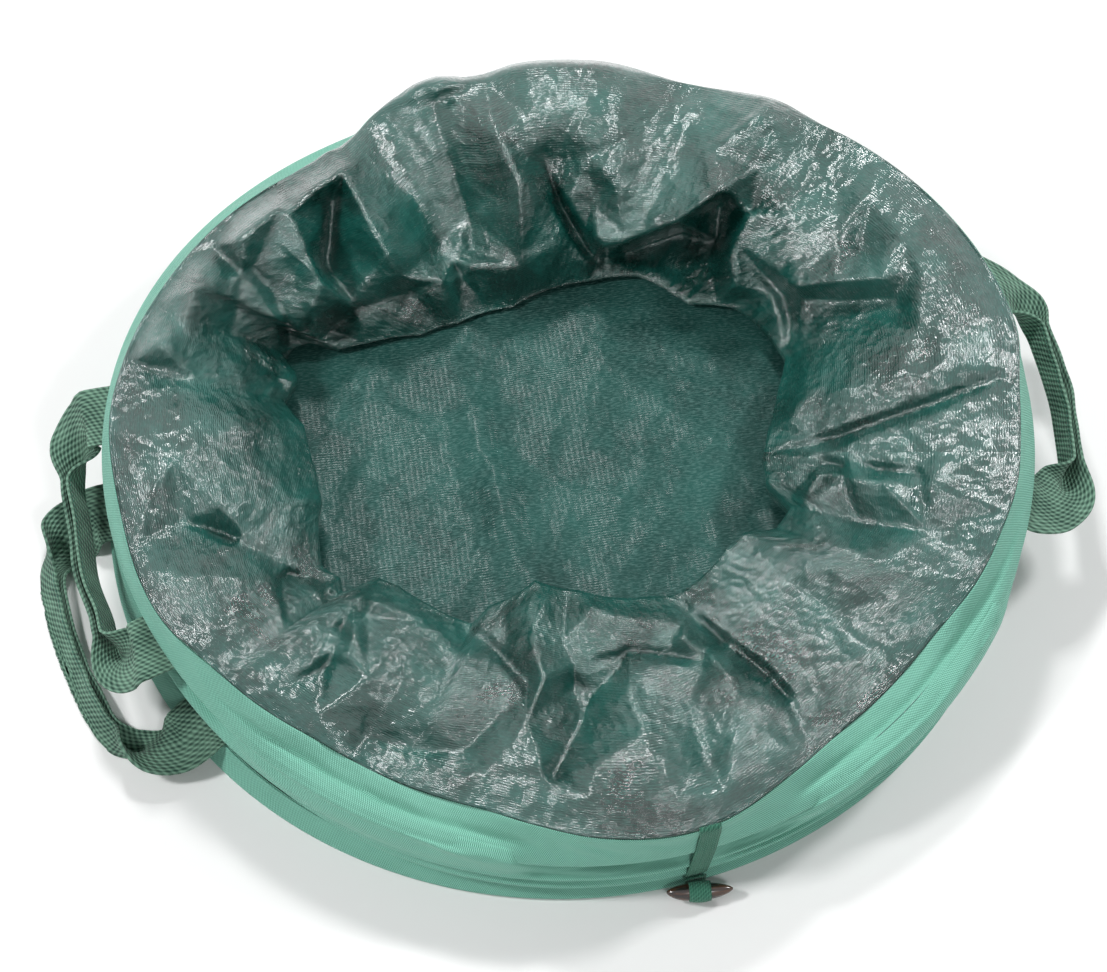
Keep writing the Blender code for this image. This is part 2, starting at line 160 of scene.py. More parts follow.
def calmShare(azimuth):
    # 0 under the two tapes and 1 away from them, so that no slack stands through a tape
    share = 1.0
    for place in bagSettings["tapeAngles"]:
        aside = (azimuth - math.radians(place) + np.pi) % (2 * np.pi) - np.pi
        share = share * (1 - np.exp(-(aside / math.radians(bagSettings["tapeReach"])) ** 4))
    return share


def rise(angle):
    # one plus the saddle's share of the height, twice round
    return 1 + bagSettings["saddle"] / bagSettings["rimHeight"] * np.cos(2 * angle)


def rimHoopHeight(angle):
    # the average height times the saddle's rise
    return bagSettings["rimHeight"] * rise(angle)


def polar(angle, radius, height):
    # a place from its angle, radius and height
    return np.stack(np.broadcast_arrays(radius * np.cos(angle), radius * np.sin(angle), height), -1)


def lean(places):
    # the stack's lean grows linearly with height and stays whole on the rim
    share = (places[..., 2] - bagSettings["sagStart"]) / (bagSettings["sagEnd"] - bagSettings["sagStart"])
    return places + sagVector * np.clip(share, 0, 1)[..., None]


def pixelAngle(offset):
    # anticlockwise angle, from 0 to a whole turn, of an offset whose pixels run down the image
    return np.arctan2(-offset[..., 1], offset[..., 0]) % (2 * np.pi)


def readRound(angles, where, values):
    # values at the wanted angles, linear between those where they are known, all the way round
    order = np.argsort(where)
    return np.interp(angles, where[order], values[order], period=2 * np.pi)


def smoothRound(values, count):
    # a closed row of values under a rounded window of the given odd number of columns
    window = np.hanning(count + 2)[1:-1]
    half = count // 2
    return np.convolve(np.r_[values[-half:], values, values[:half]], window / window.sum(), "valid")


def waves(along, length, count, amplitude, draw, roughness=0.6):
    # a periodic sum of sines with random phases and falling strength
    total = np.zeros_like(along)
    for k in range(1, count + 1):
        strength = draw.normal() / k ** roughness
        total += strength * np.cos(2 * np.pi * k * along / length + draw.uniform(0, 2 * np.pi))
    return amplitude * total / math.sqrt(count)


def surfaceNoise(u, v, uCells, vCells, draw):
    # random values on a lattice, periodic along u, joined by smooth steps
    values = draw.normal(size=(vCells + 2, uCells))
    x, y = (u % 1.0) * uCells, np.clip(v, 0, 1) * vCells
    i, j = np.floor(x).astype(int), np.floor(y).astype(int)
    fx, fy = smoothStep(x - i), smoothStep(y - j)
    i0, i1 = i % uCells, (i + 1) % uCells
    j0, j1 = np.clip(j, 0, vCells + 1), np.clip(j + 1, 0, vCells + 1)
    low = values[j0, i0] * (1 - fx) + values[j0, i1] * fx
    high = values[j1, i0] * (1 - fx) + values[j1, i1] * fx
    return low * (1 - fy) + high * fy


def unit(vectors):
    # each vector over its own length
    return vectors / np.maximum(np.linalg.norm(vectors, axis=-1, keepdims=True), 1e-12)


def lengthsAlong(line):
    # distance from the start of a line to each of its points
    return np.r_[0, np.cumsum(np.linalg.norm(np.diff(line, axis=0), axis=1))]


def throughPoints(points, at):
    # Catmull-Rom: a cubic through the points, whose slope at each is half the step between its neighbours
    padded = np.concatenate([[2 * points[0] - points[1]], points, [2 * points[-1] - points[-2]]], 0)
    first = np.minimum(at.astype(int), len(points) - 2)
    t = (at - first).reshape([-1] + [1] * (points.ndim - 1))
    a, b, c, d = (padded[first + i] for i in range(4))
    slope, bend, twist = c - a, 2 * a - 5 * b + 4 * c - d, 3 * b - a - 3 * c + d
    return 0.5 * (2 * b + slope * t + bend * t ** 2 + twist * t ** 3)


def smoothLine(points, count):
    # a curve through the points, sampled at even steps of its length
    points = np.asarray(points, float)
    spans = len(points) - 1
    fine = throughPoints(points, np.linspace(0, spans, spans * 24 + 1))
    far = lengthsAlong(fine)
    steps = np.linspace(0, far[-1], count)
    return np.stack([np.interp(steps, far, fine[:, i]) for i in range(fine.shape[1])], -1)


# Meshes

def linkObject(name, data):
    # a new object for the data, at the origin and unturned
    piece = bpy.data.objects.new(name, data)
    bpy.context.scene.collection.objects.link(piece)
    return piece


def addMesh(name, places, uv=None, closeRows=False, closeColumns=False, flip=False):
    # a grid of places becomes quads, with the uv in metres along rows and columns
    rows, columns = places.shape[:2]
    down, across = np.arange(rows - (not closeRows)), np.arange(columns - (not closeColumns))
    i, j = np.meshgrid(down, across, indexing="ij")
    i2, j2 = (i + 1) % rows, (j + 1) % columns
    corners = np.stack([i * columns + j, i * columns + j2, i2 * columns + j2, i2 * columns + j], -1)
    corners = corners.reshape(-1, 4)
    order = [0, 3, 2, 1] if flip else [0, 1, 2, 3]
    mesh = bpy.data.meshes.new(name)
    mesh.vertices.add(rows * columns)
    mesh.vertices.foreach_set("co", places.astype(np.float32).ravel())
    mesh.loops.add(corners.size)
    mesh.loops.foreach_set("vertex_index", corners[:, order].astype(np.int32).ravel())
    mesh.polygons.add(len(corners))
    mesh.polygons.foreach_set("loop_start", np.arange(0, corners.size, 4, dtype=np.int32))
    mesh.update(calc_edges=True)
    if uv is not None:
        wide, tall = uv
        iu = np.stack([i, i, i + 1, i + 1], -1).reshape(-1, 4)[:, order]
        ju = np.stack([j, j + 1, j + 1, j], -1).reshape(-1, 4)[:, order]
        layer = mesh.uv_layers.new(name="cloth")
        layer.data.foreach_set("uv", np.stack([wide[iu, ju], tall[iu, ju]], -1).astype(np.float32).ravel())
    mesh.validate()
    mesh.shade_smooth()
    return linkObject(name, mesh)


def clothUv(places, closeColumns=False):
    # distances along the rows and down the columns, in metres
    def spread(axis, close):
        # running sum of the average step between neighbours along the axis
        step = np.linalg.norm(np.diff(places, axis=axis, append=np.take(places, [0], axis)), axis=-1)
        if not close:
            step = np.take(step, range(step.shape[axis] - 1), axis)
        step = np.broadcast_to(step.mean(axis=1 - axis, keepdims=True), step.shape)
        return np.cumsum(np.concatenate([np.zeros_like(np.take(step, [0], axis)), step], axis), axis)
    wide, tall = spread(1, closeColumns), spread(0, False)
    shape = (places.shape[0], places.shape[1] + closeColumns)
    return np.broadcast_to(wide[:1], shape), np.broadcast_to(tall[:, :1], shape)


def thicken(piece, thickness, offset=0.0):
    # the cloth's thickness, half on each side of the mesh, or all on its back where the offset is -1
    modifier = piece.modifiers.new("thickness", "SOLIDIFY")
    modifier.thickness = thickness
    modifier.offset = offset
    return piece


def applyModifiers(piece):
    # the evaluated mesh takes the place of the plain one
    graph = bpy.context.evaluated_depsgraph_get()
    mesh = bpy.data.meshes.new_from_object(piece.evaluated_get(graph))
    piece.modifiers.clear()
    piece.data = mesh
    return piece


def finishPiece(piece, material, slot, body=None, between=None, replaced=()):
    # material, the record's slot (not used), what the piece rides on, and the CAD nodes it stands for
    piece.data.materials.append(material)
    if body:
        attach(piece, body)
    if between:
        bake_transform(piece)
    if replaced:
        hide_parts(*replaced)
    return piece


# Materials

oxfordSettings = {
    # dark and light are painted shade in the weave's grooves and painted light on its ribs; worn is the
    # colour of rubbed patches
    "dark": "#337661",
    "light": "#9bdcc8",
    "worn": "#84c4b0",
    "pitches": (0.0012, 0.0018),  # metres, across and up the strip: together they slant the ribs
    "weftShare": 0.45,
    "relief": 0.00011,
}

linerSettings = {
    # tape and film of the bag's wall, and of the floor, where the same cloth is rubbed and matt
    # in each cloth, dark to light is the film's rubbed tone, and the third colour is a painted glint drawn
    # along the dashes
    "laminatedWovenPolyethylene": {
        "dark": "#03241f", "light": "#15564e", "paintedGlint": "#33776b",
        "gloss": 0.25, "crumple": 0.36, "film": 1.0, "cling": 0.00050,
    },
    "laminatedWovenPolyethyleneInside": {
        "dark": "#103531", "light": "#22504a", "paintedGlint": "#6f9690",
        "gloss": 0.50, "crumple": 0.14, "film": 0.10, "cling": 0.00012,
    },
}

weaveSettings = {
    "pitches": (0.0034, 0.0017),  # metres across and up
    "drift": 0.0022,  # how far the tapes wander
    "dashes": (260.0, 900.0, 1.0),  # noise scales that draw the dashes out along the tapes
    "weaveHeight": 0.00005,
    "crumpleScale": 42.0,
    "crumpleHeight": 0.005,
    "dullness": 0.14,  # roughness that rubbing adds
    "filmShine": 0.4,  # the film's roughness as a share of the tape's
}

webbingSettings = {
    # dark is painted shade in the weave's hollows and light is painted light on its lumps
    "polypropyleneWebbing": {"dark": "#1f3e34", "light": "#82aa94", "pitch": 0.0024},
    "narrowWovenTape": {"dark": "#2a6250", "light": "#559079", "pitch": 0.0014},
}


def linear(code):
    # sRGB hex to linear red, green and blue
    values = [int(code[i:i + 2], 16) / 255 for i in (1, 3, 5)]
    return [v / 12.92 if v <= 0.04045 else ((v + 0.055) / 1.055) ** 2.4 for v in values] + [1.0]


def addNode(material, kind, settings, inputs):
    # one node with its properties set, and its inputs given as values, as nodes or as their sockets
    node = material.node_tree.nodes.new(kind)
    for key, value in settings.items():
        setattr(node, key, value)
    for key, value in inputs.items():
        if isinstance(value, bpy.types.Node):
            value = value.outputs[0]
        if isinstance(value, bpy.types.NodeSocket):
            material.node_tree.links.new(value, node.inputs[key])
        else:
            node.inputs[key].default_value = value
    return node


def startMaterial(name, shaderInputs):
    # a material whose shader has its plain values set
    material = bpy.data.materials.new(name)
    material.use_nodes = True
    shader = material.node_tree.nodes["Principled BSDF"]
    for key, value in shaderInputs.items():
        shader.inputs[key].default_value = value
    return material, shader


def clothTurns(material, place, pitches):
    # a whole turn for each pitch across and up the cloth
    parts = addNode(material, "ShaderNodeSeparateXYZ", {}, {0: place})
    return [
        addNode(material, "ShaderNodeMath", {"operation": "MULTIPLY"}, {
            0: parts.outputs[axis], 1: 2 * math.pi / pitch,
        })
        for axis, pitch in enumerate(pitches)
    ]


def oxfordMaterial():
    # PU-coated polyester oxford, woven from bundles of threads: fine slanting ribs broken by the weft, a soft
    # sheen. Its height is the sine of the turns across and up, plus a share of the sine of their difference.
    s = oxfordSettings
    material, shader = startMaterial("polyesterOxford", {
        "Roughness": 0.58, "Specular IOR Level": 0.18, "Sheen Weight": 0.08, "Sheen Roughness": 0.5,
    })
    links = material.node_tree.links
    place = addNode(material, "ShaderNodeUVMap", {"uv_map": "cloth"}, {})
    across, up = clothTurns(material, place, s["pitches"])
    slants = []
    for operation in ("ADD", "SUBTRACT"):
        slant = addNode(material, "ShaderNodeMath", {"operation": operation}, {0: across, 1: up})
        slants.append(addNode(material, "ShaderNodeMath", {"operation": "SINE"}, {0: slant}))
    rib, weft = slants
    over = addNode(material, "ShaderNodeMath", {"operation": "MULTIPLY_ADD"}, {
        0: weft, 1: s["weftShare"], 2: rib,
    })
    # painted shade: the weave's height also sets the colour, dark in its grooves and light on its ribs
    share = addNode(material, "ShaderNodeMapRange", {}, {"Value": over, "From Min": -1.4, "From Max": 1.4})
    colour = addNode(material, "ShaderNodeMix", {"data_type": "RGBA"}, {
        0: share, 6: linear(s["dark"]), 7: linear(s["light"]),
    })
    # worn patches
    cloud = addNode(material, "ShaderNodeTexNoise", {}, {"Vector": place, "Scale": 30.0, "Detail": 4.0})
    patches = addNode(material, "ShaderNodeMapRange", {}, {
        "Value": cloud, "From Min": 0.35, "From Max": 0.75, "To Max": 0.35,
    })
    worn = addNode(material, "ShaderNodeMix", {"data_type": "RGBA"}, {
        0: patches, 6: colour.outputs[2], 7: linear(s["worn"]),
    })
    links.new(worn.outputs[2], shader.inputs["Base Color"])
    bump = addNode(material, "ShaderNodeBump", {}, {"Height": over, "Strength": 1.0, "Distance": s["relief"]})
    links.new(bump.outputs[0], shader.inputs["Normal"])
    return material


def linerColour(material, name, place, dash):
    # dark to light where the film is rubbed, then towards a painted glint colour along the dashes
    s = linerSettings[name]
    rub = addNode(material, "ShaderNodeTexNoise", {}, {
        "Vector": place, "Scale": 16.0, "Detail": 6.0, "Roughness": 0.65,
    })
    fine = addNode(material, "ShaderNodeMapRange", {}, {"Value": rub, "From Min": 0.35, "From Max": 0.65})
    colour = addNode(material, "ShaderNodeMix", {"data_type": "RGBA"}, {
        0: fine, 6: linear(s["dark"]), 7: linear(s["light"]),
    })
    # painted glints: the dashes, which also tilt the bump, brighten the colour towards the glint colour
    paintedGlintShare = addNode(material, "ShaderNodeMapRange", {}, {
        "Value": dash, "From Min": 0.45, "From Max": 0.75, "To Max": 0.4,
    })
    paintedGlintColour = addNode(material, "ShaderNodeMix", {"data_type": "RGBA"}, {
        0: paintedGlintShare, 6: colour.outputs[2], 7: linear(s["paintedGlint"]),
    })
    return rub, paintedGlintColour.outputs[2]


def linerRelief(material, name, loose, dash):
    # three bumps, one on another: the weave (sine up, plus half its product with the sine across), the film's
    # dashes, and the facets of a crumple
    s, w = linerSettings[name], weaveSettings
    tape, rib = (
        addNode(material, "ShaderNodeMath", {"operation": "SINE"}, {0: turn})
        for turn in clothTurns(material, loose, w["pitches"])
    )
    woven = addNode(material, "ShaderNodeMath", {"operation": "MULTIPLY"}, {0: rib, 1: tape})
    weave = addNode(material, "ShaderNodeMath", {"operation": "MULTIPLY_ADD"}, {0: woven, 1: 0.5, 2: rib})
    crush = addNode(material, "ShaderNodeTexVoronoi", {"feature": "F1"}, {
        "Vector": loose, "Scale": w["crumpleScale"], "Detail": 2.0, "Roughness": 0.6,
    })
    layers = [(weave, 1.0, w["weaveHeight"]), (dash, 1.0, s["cling"])]
    below = {}
    for height, strength, distance in layers + [(crush, s["crumple"], w["crumpleHeight"])]:
        bump = addNode(material, "ShaderNodeBump", {}, {
            "Height": height, "Strength": strength, "Distance": distance, **below,
        })
        below = {"Normal": bump}
    return bump.outputs[0]


def linerMaterial(name):
    # woven polyethylene tape under a clear film: ribs of tape 1.7 mm wide, broken into dashes where the film
    # clings. Roughness is the gloss plus what rubbing adds.
    s, w = linerSettings[name], weaveSettings
    material, shader = startMaterial(name, {
        "Specular IOR Level": 0.1,
        "Coat Weight": s["film"], "Coat Roughness": s["gloss"] * w["filmShine"], "Coat IOR": 1.75,
    })
    links = material.node_tree.links
    place = addNode(material, "ShaderNodeUVMap", {"uv_map": "cloth"}, {})
    drift = addNode(material, "ShaderNodeTexNoise", {}, {"Vector": place, "Scale": 45.0, "Detail": 2.0})
    shift = addNode(material, "ShaderNodeVectorMath", {"operation": "SCALE"}, {
        0: drift.outputs["Color"], "Scale": w["drift"],
    })
    loose = addNode(material, "ShaderNodeVectorMath", {"operation": "ADD"}, {0: place, 1: shift})
    drawn = addNode(material, "ShaderNodeMapping", {}, {"Vector": loose, "Scale": w["dashes"]})
    dash = addNode(material, "ShaderNodeTexNoise", {}, {
        "Vector": drawn, "Scale": 1.0, "Detail": 3.0, "Roughness": 0.6,
    })
    # the colour holds painted glints along the dashes as well as the rubbed tone
    rub, colour = linerColour(material, name, place, dash)
    links.new(colour, shader.inputs["Base Color"])
    rough = addNode(material, "ShaderNodeMapRange", {}, {
        "Value": rub, "From Min": 0.35, "From Max": 0.65,
        "To Min": s["gloss"], "To Max": s["gloss"] + w["dullness"],
    })
    links.new(rough.outputs[0], shader.inputs["Roughness"])
    relief = linerRelief(material, name, loose, dash)
    links.new(relief, shader.inputs["Normal"])
    links.new(relief, shader.inputs["Coat Normal"])
    return material


def webbingMaterial(name):
    # woven polypropylene webbing: plump ribs along the strap, crossed by weft into a basket of small lumps.
    # Its height is the sine of the turns across, plus the sine of half of them and the turns up.
    s = webbingSettings[name]
    material, shader = startMaterial(name, {
        "Roughness": 0.7, "Specular IOR Level": 0.2, "Sheen Weight": 0.1, "Sheen Roughness": 0.4,
    })
    links = material.node_tree.links
    place = addNode(material, "ShaderNodeUVMap", {"uv_map": "cloth"}, {})
    across, up = clothTurns(material, place, (s["pitch"], 1.6 * s["pitch"]))
    rib = addNode(material, "ShaderNodeMath", {"operation": "SINE"}, {0: across})
    slant = addNode(material, "ShaderNodeMath", {"operation": "MULTIPLY_ADD"}, {0: across, 1: 0.5, 2: up})
    weft = addNode(material, "ShaderNodeMath", {"operation": "SINE"}, {0: slant})
    both = addNode(material, "ShaderNodeMath", {"operation": "ADD"}, {0: rib, 1: weft})
    cloud = addNode(material, "ShaderNodeTexNoise", {}, {"Vector": place, "Scale": 60.0, "Detail": 3.0})
    # painted shade: the weave's height sets the colour, dark in its hollows and light on its lumps, plus a
    # random tone from the cloud
    paintedLumpShade = addNode(material, "ShaderNodeMapRange", {}, {
        "Value": both, "From Min": -1.6, "From Max": 1.8, "To Max": 0.8,
    })
    uneven = addNode(material, "ShaderNodeMapRange", {}, {
        "Value": cloud, "From Min": 0.3, "From Max": 0.7, "To Min": -0.15, "To Max": 0.25,
    })
    paintedShadeAndTone = addNode(material, "ShaderNodeMath", {"operation": "ADD"}, {0: paintedLumpShade, 1: uneven})
    colour = addNode(material, "ShaderNodeMix", {"data_type": "RGBA"}, {
        0: paintedShadeAndTone, 6: linear(s["dark"]), 7: linear(s["light"]),
    })
    links.new(colour.outputs[2], shader.inputs["Base Color"])
    bump = addNode(material, "ShaderNodeBump", {}, {"Height": both, "Strength": 0.6, "Distance": 0.0005})
    links.new(bump.outputs[0], shader.inputs["Normal"])
    return material


def threadMaterial():
    # bonded polyester thread: slightly shiny, a shade darker than the oxford
    material, shader = startMaterial("polyesterThread", {"Roughness": 0.5, "Sheen Weight": 0.2})
    place = addNode(material, "ShaderNodeTexCoord", {}, {})
    noise = addNode(material, "ShaderNodeTexNoise", {}, {"Vector": place.outputs["Object"], "Scale": 400.0})
    colour = addNode(material, "ShaderNodeMix", {"data_type": "RGBA"}, {
        0: noise, 6: linear("#1b4c3d"), 7: linear("#347360"),
    })
    material.node_tree.links.new(colour.outputs[2], shader.inputs["Base Color"])
    return material


def hornMaterial():
    # moulded polyester toggle coloured like horn: polished, near black with brown streaks along it
    material, shader = startMaterial("mouldedHornToggle", {
        "Roughness": 0.22, "Coat Weight": 0.4, "Coat Roughness": 0.1,
    })
    place = addNode(material, "ShaderNodeTexCoord", {}, {})
    drawn = addNode(material, "ShaderNodeMapping", {}, {
        "Vector": place.outputs["Object"], "Scale": (60, 400, 400),
    })
    streak = addNode(material, "ShaderNodeTexNoise", {}, {"Vector": drawn, "Scale": 1.0, "Detail": 4.0})
    share = addNode(material, "ShaderNodeMapRange", {}, {"Value": streak, "From Min": 0.4, "From Max": 0.7})
    colour = addNode(material, "ShaderNodeMix", {"data_type": "RGBA"}, {
        0: share, 6: linear("#1a1210"), 7: linear("#5a3a26"),
    })
    material.node_tree.links.new(colour.outputs[2], shader.inputs["Base Color"])
    return material


def grainedMaterial(name, shaderInputs, scale, low, high):
    # a plain colour whose roughness wanders between two values with a fine grain
    material, shader = startMaterial(name, shaderInputs)
    place = addNode(material, "ShaderNodeTexCoord", {}, {})
    grain = addNode(material, "ShaderNodeTexNoise", {}, {
        "Vector": place.outputs["Object"], "Scale": scale, "Detail": 3.0,
    })
    rough = addNode(material, "ShaderNodeMapRange", {}, {
        "Value": grain, "From Min": 0.3, "From Max": 0.7, "To Min": low, "To Max": high,
    })
    material.node_tree.links.new(rough.outputs[0], shader.inputs["Roughness"])
    return material


makeCamera()
oxford = oxfordMaterial()
liner, floorCloth = (linerMaterial(name) for name in linerSettings)
webbing, tape = (webbingMaterial(name) for name in webbingSettings)
thread = threadMaterial()
horn = hornMaterial()
metal = {"Metallic": 1.0}
# drawn spring steel wire: bright, with fine scratches
steel = grainedMaterial("drawnSpringSteel", {**metal, "Base Color": linear("#8d9094")}, 900.0, 0.25, 0.45)
# crimped aluminium ferrule: dull and tumbled
ferrule = grainedMaterial("tumbledAluminium", {**metal, "Base Color": linear("#c9cacb")}, 700.0, 0.4, 0.6)
# dipped soft PVC cap: black and matt
softCap = grainedMaterial("dippedPvc", {"Base Color": linear("#1b1c1c")}, 600.0, 0.5, 0.7)
print("camera and materials made")


# Collar: the slack upper wall, bunched inside the rim

collarSettings = {
    "columns": 600,
    "rowsOver": 8,  # from the seam up and over to the skyline
    "rowsSeen": 62,  # from the skyline to the lip
    "rowsUnder": 10,  # from the lip down and back under
    "rowCrowding": 0.10,  # how much closer the seen rows lie near both ends
    "thickness": 0.0004,
    "mouthMiddle": (553.0, 452.0),  # pixels
    "shift": (-12.0, 0.0),  # pixels from the photograph to the straightened model
    "fall": 1.4,  # power by which the cloth falls from the rim to the lip
    "bulge": 9.0,  # mm, crown of the cloth between seam and lip
    "facets": ((480, 1.5), (4200, 0.42)),  # random facets of crushed cloth: how many, and their height in mm
    "foldShare": 1.75,  # how far the folds below are drawn out
    "railDistance": 9.0,  # pixels from a narrow crease to the level cloth on either side
    "railHeight": 2.0,
    "creaseShare": 0.8,
    "edgeSteps": (14, 10),  # every so many columns the outer and the inner edge hold the folds level
    "frameMargin": 5,  # pixels outside the image where the folds end
    "softening": 1.2,  # pixels, rounding of the creases
    "edgeRelief": 0.25,  # share of the folds that is left at both edges
    "tuckDepth": 0.015,
    "tuckInset": 0.0050,
    "rimInset": 0.0012,
    "tuckShare": 0.3,  # share of the rows over the rim that lie in the tuck
    "overSwell": 0.20,  # shares of the way from rim to skyline that the cloth stands out and up
    "overRise": 0.05,
    "edgeSmoothing": 31,  # columns over which the outer height is evened
    "lipSmoothing": 9,
    "bottom": 0.007,  # metres, between which the seen cloth lies
    "ceiling": 0.118,
    "lipReach": 0.004,  # how far the cloth runs on inwards at the lip before it turns down
    "lipDrop": 0.45,
    "lipBack": 0.012,
    "underRadius": 0.2,
    "underHeight": 0.0055,
    "footRadius": 0.266,
    "footHeight": 0.0042,
    "blendStart": 0.004,
    "blendEnd": 0.085,
    "flat": (0.42, 1.76),  # depth and girth of the cloth
    "heapLength": 1.2,  # round the middle of the heap
}

# Skyline of the cloth at the back: pixels across and down, and height in mm
skyline = [
    (150, 345, 86), (177, 293, 84), (196, 268, 84), (217, 247, 84), (238, 227, 85), (268, 204, 86),
    (296, 186, 88), (323, 168, 90), (340, 152, 93), (352, 149, 94), (366, 143, 96), (380, 128, 99),
    (411, 103, 105), (430, 88, 108), (453, 79.5, 111), (470, 82, 108), (489, 86, 106), (505, 79, 108),
    (525, 70, 109), (560, 67, 109), (609, 68, 109), (640, 75, 108), (692, 86, 107), (740, 94, 109),
    (780, 101, 111), (800, 109, 109), (825, 128, 108), (854, 152, 107), (897, 189, 107), (930, 221, 105),
    (970, 280, 103), (992, 302, 101), (1008, 328, 100), (1025, 360, 99),
]

# Lip of the mouth: pixels across and down, and height in mm
lip = [
    (291, 350, 22), (308, 372, 26), (308, 381, 30), (294, 399, 36), (316, 425, 40), (327, 468, 40),
    (333, 498, 42), (329, 518, 44), (333, 565, 46), (352, 578, 50), (354, 592, 50), (390, 577, 58),
    (411, 586, 60), (442, 605, 62), (484, 624, 52), (500, 606, 58), (547, 580, 64), (591, 590, 64),
    (662, 596, 62), (688, 595, 60), (740, 548, 56), (757, 532, 54), (787, 529, 48), (804, 506, 48),
    (779, 482, 44), (775, 456, 40), (780, 430, 38), (790, 390, 34), (798, 357, 30), (790, 345, 28),
    (768, 320, 22), (745, 306, 14), (700, 303, 12), (650, 275, 12), (600, 280, 11), (525, 306, 10),
    (470, 322, 10), (432, 334, 11), (378, 342, 13), (350, 348, 14), (320, 340, 16),
]

# Folds of the cloth: pixels across and down, and mm above or below the plain crown
folds = [
    [(172, 345, 12), (205, 292, 14), (250, 240, 15), (292, 209, 14), (330, 188, 12), (356, 172, 8)],
    [(300, 215, 14), (318, 250, 11), (333, 282, 11), (324, 309, 7)],
    [(345, 200, -5), (338, 267, -13), (342, 330, -10)],
    [(360, 165, 3), (378, 216, 12), (399, 255, 13), (411, 276, 8)],
    [(415, 140, -3), (430, 200, -4), (440, 255, -2)],
    [(444, 100, -5), (462, 160, -10), (480, 216, -12), (484, 250, -6)],
    [(456, 84, 5), (510, 135, 9), (531, 180, 11), (534, 262, 8)],
    [(357, 300, 4), (420, 280, 7), (453, 282, 7), (480, 267, 6), (534, 264, 7)],
    [(545, 120, 0), (560, 170, -5), (572, 204, -11), (590, 235, -12), (609, 258, -9)],
    [(590, 110, 3), (600, 160, 4), (604, 205, 2)],
    [(780, 104, 5), (771, 167, 4), (763, 210, 1)],
    [(700, 110, 3), (720, 150, 5)],
    [(646, 132, 5), (626, 173, 10), (609, 238, 14)],
    [(615, 247, 15), (640, 241, 18), (689, 222, 18), (734, 191, 16)],
    [(618, 256, -5), (642, 252, -14), (692, 233, -22), (733, 203, -22), (728, 240, -20), (724, 262, -14)],
    [(640, 266, -6), (701, 300, 0), (750, 305, 0)],
    [(746, 196, 8), (760, 214, 6), (746, 242, 4), (737, 259, 4)],
    [(746, 284, 8), (774, 333, 10), (790, 350, 6)],
    [(808, 286, 9), (850, 281, 9), (891, 277, 9), (924, 271, 5)],
    [(812, 300, 1), (860, 300, -2), (905, 300, -2)],
    [(903, 250, 6), (932, 271, 8), (970, 299, 7), (1004, 326, 3)],
    [(880, 198, 3), (913, 237, 4)],
    [(825, 150, -1), (850, 200, -3), (872, 245, -3)],
    [(800, 215, 4), (850, 235, 3)],
    [(306, 397, 8), (248, 425, 10), (185, 456, 8), (159, 476, 3)],
    [(205, 379, 3), (217, 399, 5), (264, 407, 6)],
    [(195, 330, 7), (240, 345, -2), (285, 372, -4)],
    [(262, 262, 4), (285, 290, -4), (300, 330, -8)],
    [(195, 522, -5), (248, 540, -8), (298, 573, -9), (345, 579, -6)],
    [(160, 500, 3), (230, 505, 6), (300, 500, 5), (328, 500, 4)],
    [(160, 571, 2), (220, 577, 5), (284, 582, 7), (340, 588, 5)],
    [(230, 640, 2), (300, 640, 5), (350, 640, 3)],
    [(382, 600, 8), (366, 630, 9), (359, 655, 9), (380, 678, 8), (410, 690, 6)],
    [(372, 596, 1), (352, 630, -4), (338, 665, -3)],
    [(430, 620, 6), (470, 655, 8), (500, 690, 4)],
    [(557, 603, 7), (545, 631, 8), (547, 655, 9), (555, 679, 8)],
    [(530, 700, 3), (539, 720, 6), (526, 740, 6), (552, 765, 5), (560, 780, 2)],
    [(435, 718, 5), (482, 705, 5), (515, 712, 2)],
    [(380, 735, -3), (430, 748, -4), (474, 752, -3)],
    [(557, 600, 7), (605, 607, 8), (650, 620, 7), (696, 637, 8), (735, 650, 4)],
    [(586, 684, -12), (607, 692, -13), (595, 720, -10), (578, 750, -8), (563, 778, -5)],
    [(575, 640, 0), (585, 665, -4)],
    [(640, 652, -4), (680, 655, -5), (717, 657, -4)],
    [(635, 665, -5), (620, 680, -9)],
    [(640, 690, 5), (655, 730, 7), (670, 760, 8), (690, 800, 4)],
    [(610, 765, 7), (600, 800, 4)],
    [(722, 655, 7), (738, 672, 9), (748, 695, 8), (745, 730, 4)],
    [(700, 610, -3), (737, 642, -7), (781, 676, -8), (800, 700, -5)],
    [(787, 533, 3), (845, 546, 8), (890, 562, 7), (921, 576, 4)],
    [(800, 580, -2), (850, 620, -4), (880, 650, -3)],
    [(804, 664, 3), (831, 693, 5)],
    [(815, 505, 6), (831, 474, 10), (862, 478, 10), (895, 482, 9), (945, 487, 5)],
    [(857, 450, 1), (904, 445, 2)],
    [(1000, 352, 3), (950, 368, 6), (880, 385, 6), (820, 395, 5)],
    [(800, 420, 5), (830, 415, 2)],
    [(850, 335, 2), (930, 335, 4)],
    [(960, 440, 4), (1000, 450, 4)],
    [(870, 520, -3), (940, 530, -2)],
    [(700, 700, -2), (720, 760, -3)],
    [(780, 740, 3), (740, 790, 4)],
    [(470, 780, 2), (500, 770, 2)],
    [(290, 690, 2), (330, 715, 3)],
]

